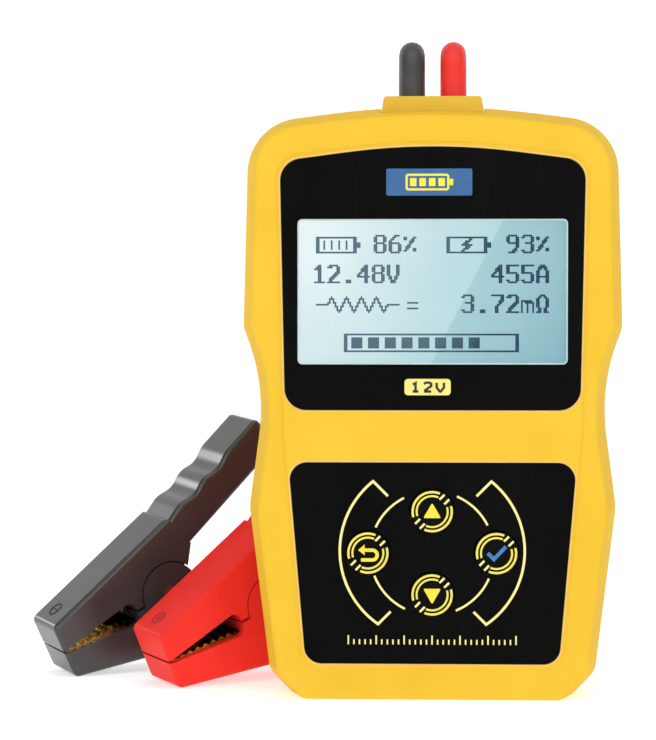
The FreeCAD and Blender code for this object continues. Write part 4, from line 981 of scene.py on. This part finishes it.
def make_spring(colour):
    """A clamp's torsion spring: a round wire carried along a leg, the turns about the pivot and the other leg.

    Each leg leaves the coil along its tangent to a grip.
    """
    reach = math.hypot(*SPRING_TIP)
    leave = math.atan2(SPRING_TIP[1], SPRING_TIP[0]) - math.acos(SPRING_RADIUS / reach)
    leg = math.sqrt(reach ** 2 - SPRING_RADIUS ** 2)
    angle = np.linspace(-leave, leave + 2 * np.pi * SPRING_TURNS, SPRING_STEPS)
    rise = SPRING_PITCH / (2 * np.pi)
    across = np.stack([np.cos(angle), 0 * angle, np.sin(angle)], 1)
    coil = SPRING_RADIUS * across + np.outer(rise * (angle - angle.mean()), (0, 1, 0))
    ahead = np.stack([-SPRING_RADIUS * np.sin(angle), 0 * angle + rise, SPRING_RADIUS * np.cos(angle)], 1)
    ahead = ahead / np.linalg.norm(ahead, axis=1)[:, None]
    path = np.concatenate([coil[:1] - ahead[:1] * leg, coil, coil[-1:] + ahead[-1:] * leg])
    ends = np.concatenate([[0], np.arange(SPRING_STEPS), [SPRING_STEPS - 1]])
    side = across[ends][:, None]
    up = np.cross(ahead, across)[ends][:, None]
    around = np.linspace(0, 2 * np.pi, SPRING_SIDES, endpoint=False)[:, None]
    ring = path[:, None] + SPRING_WIRE / 2 * (np.cos(around) * side + np.sin(around) * up)
    index = np.arange(ring.size // 3).reshape(ring.shape[:2])
    quads = np.stack([index[:-1], np.roll(index[:-1], -1, 1), np.roll(index[1:], -1, 1), index[1:]], -1)
    turned, pivot = clamp_frame(colour)
    shell = (ring.reshape(-1, 3) * MM @ turned.T + pivot, [quads.reshape(-1, 4), index[[0, -1]]])
    spring = join_shells(colour + "_spring_wire", [shell], FINISHES["steel"])
    start, end = (turned[:, 1] * MM * coil[step, 1] + pivot for step in (0, -1))
    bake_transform(spring)
    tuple(start)
    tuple(end)
    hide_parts(colour + "_spring")


for key in KEYS:
    make_key_prints(key)
make_keypad_lines()
make_plates()
make_edge_highlights_and_border()
make_readings()
for colour in CLAMP_TURN:
    make_clamp_mark(colour)
    make_spring(colour)


# Stage


def make_stage():
    """A pale, faintly lit floor bent up into a wall: a profile carried round a circle, highest at the back."""
    turn = np.linspace(0, np.pi / 2, STAGE_STEPS)
    bend = STAGE_REACH + STAGE_BEND * np.sin(turn)
    away = np.concatenate([[STAGE_MIDDLE], bend, [STAGE_REACH + STAGE_BEND]])
    rise = np.concatenate([[0.0], STAGE_BEND * (1 - np.cos(turn)), [STAGE_BEND]])
    angle = np.linspace(0, 2 * np.pi, STAGE_SIDES, endpoint=False)
    grid = np.empty((len(away), len(angle), 3))
    grid[..., 0] = np.outer(away, np.cos(angle))
    grid[..., 1] = np.outer(away, np.sin(angle))
    grid[..., 2] = rise[:, None]
    grid[-1, :, 2] += STAGE_LOW + (STAGE_HIGH - STAGE_BEND - STAGE_LOW) * np.clip(np.sin(angle), 0, 1) ** 2
    index = np.arange(grid.size // 3).reshape(grid.shape[:2])
    ahead = np.roll(index, -1, 1)
    quads = np.stack([index[:-1], index[1:], ahead[1:], ahead[:-1]], -1).reshape(-1, 4)
    mesh = bpy.data.meshes.new("floor")
    mesh.from_pydata(grid.reshape(-1, 3).tolist(), [], quads.tolist() + [index[0].tolist()])
    mesh.polygons.foreach_set("use_smooth", [True] * len(mesh.polygons))
    floor = bpy.data.objects.new("floor", mesh)
    bpy.context.scene.collection.objects.link(floor)
    pale = moulded_plastic("pale_floor", (0.9, 0.9, 0.9), (0.93, 0.93, 0.93), gloss=(0.6, 0.7), grain=60.0,
                           patch=0.8, relief=0.02)
    lit = pale.node_tree.nodes["Principled BSDF"]
    lit.inputs["Emission Color"].default_value = (1, 1, 1, 1)
    lit.inputs["Emission Strength"].default_value = STAGE_GLOW
    mesh.materials.append(pale)


def add_light(name, place, target, size, power):
    """A square soft light that faces a point and isn't seen itself."""
    data = bpy.data.lights.new(name, "AREA")
    data.size = size
    data.energy = power
    light = bpy.data.objects.new(name, data)
    light.location = place
    light.visible_camera = False
    light.rotation_euler = (Vector(target) - Vector(place)).to_track_quat("-Z", "Y").to_euler()
    bpy.context.scene.collection.objects.link(light)


def make_lights():
    """White surroundings, a broad light overhead, two soft ones in front and a small one at the back left.

    The small one shines along the clamps, so that it glints on the humps of their grips.
    """
    world = bpy.data.worlds.new("studio")
    bpy.context.scene.world = world
    world.use_nodes = True
    ground = world.node_tree.nodes["Background"]
    ground.inputs["Color"].default_value = (1, 1, 1, 1)
    ground.inputs["Strength"].default_value = WORLD_STRENGTH
    for light in LIGHTS:
        add_light(*light)
    bpy.context.scene.view_settings.view_transform = "Standard"


make_stage()
make_lights()

bpy.context.view_layer.update()
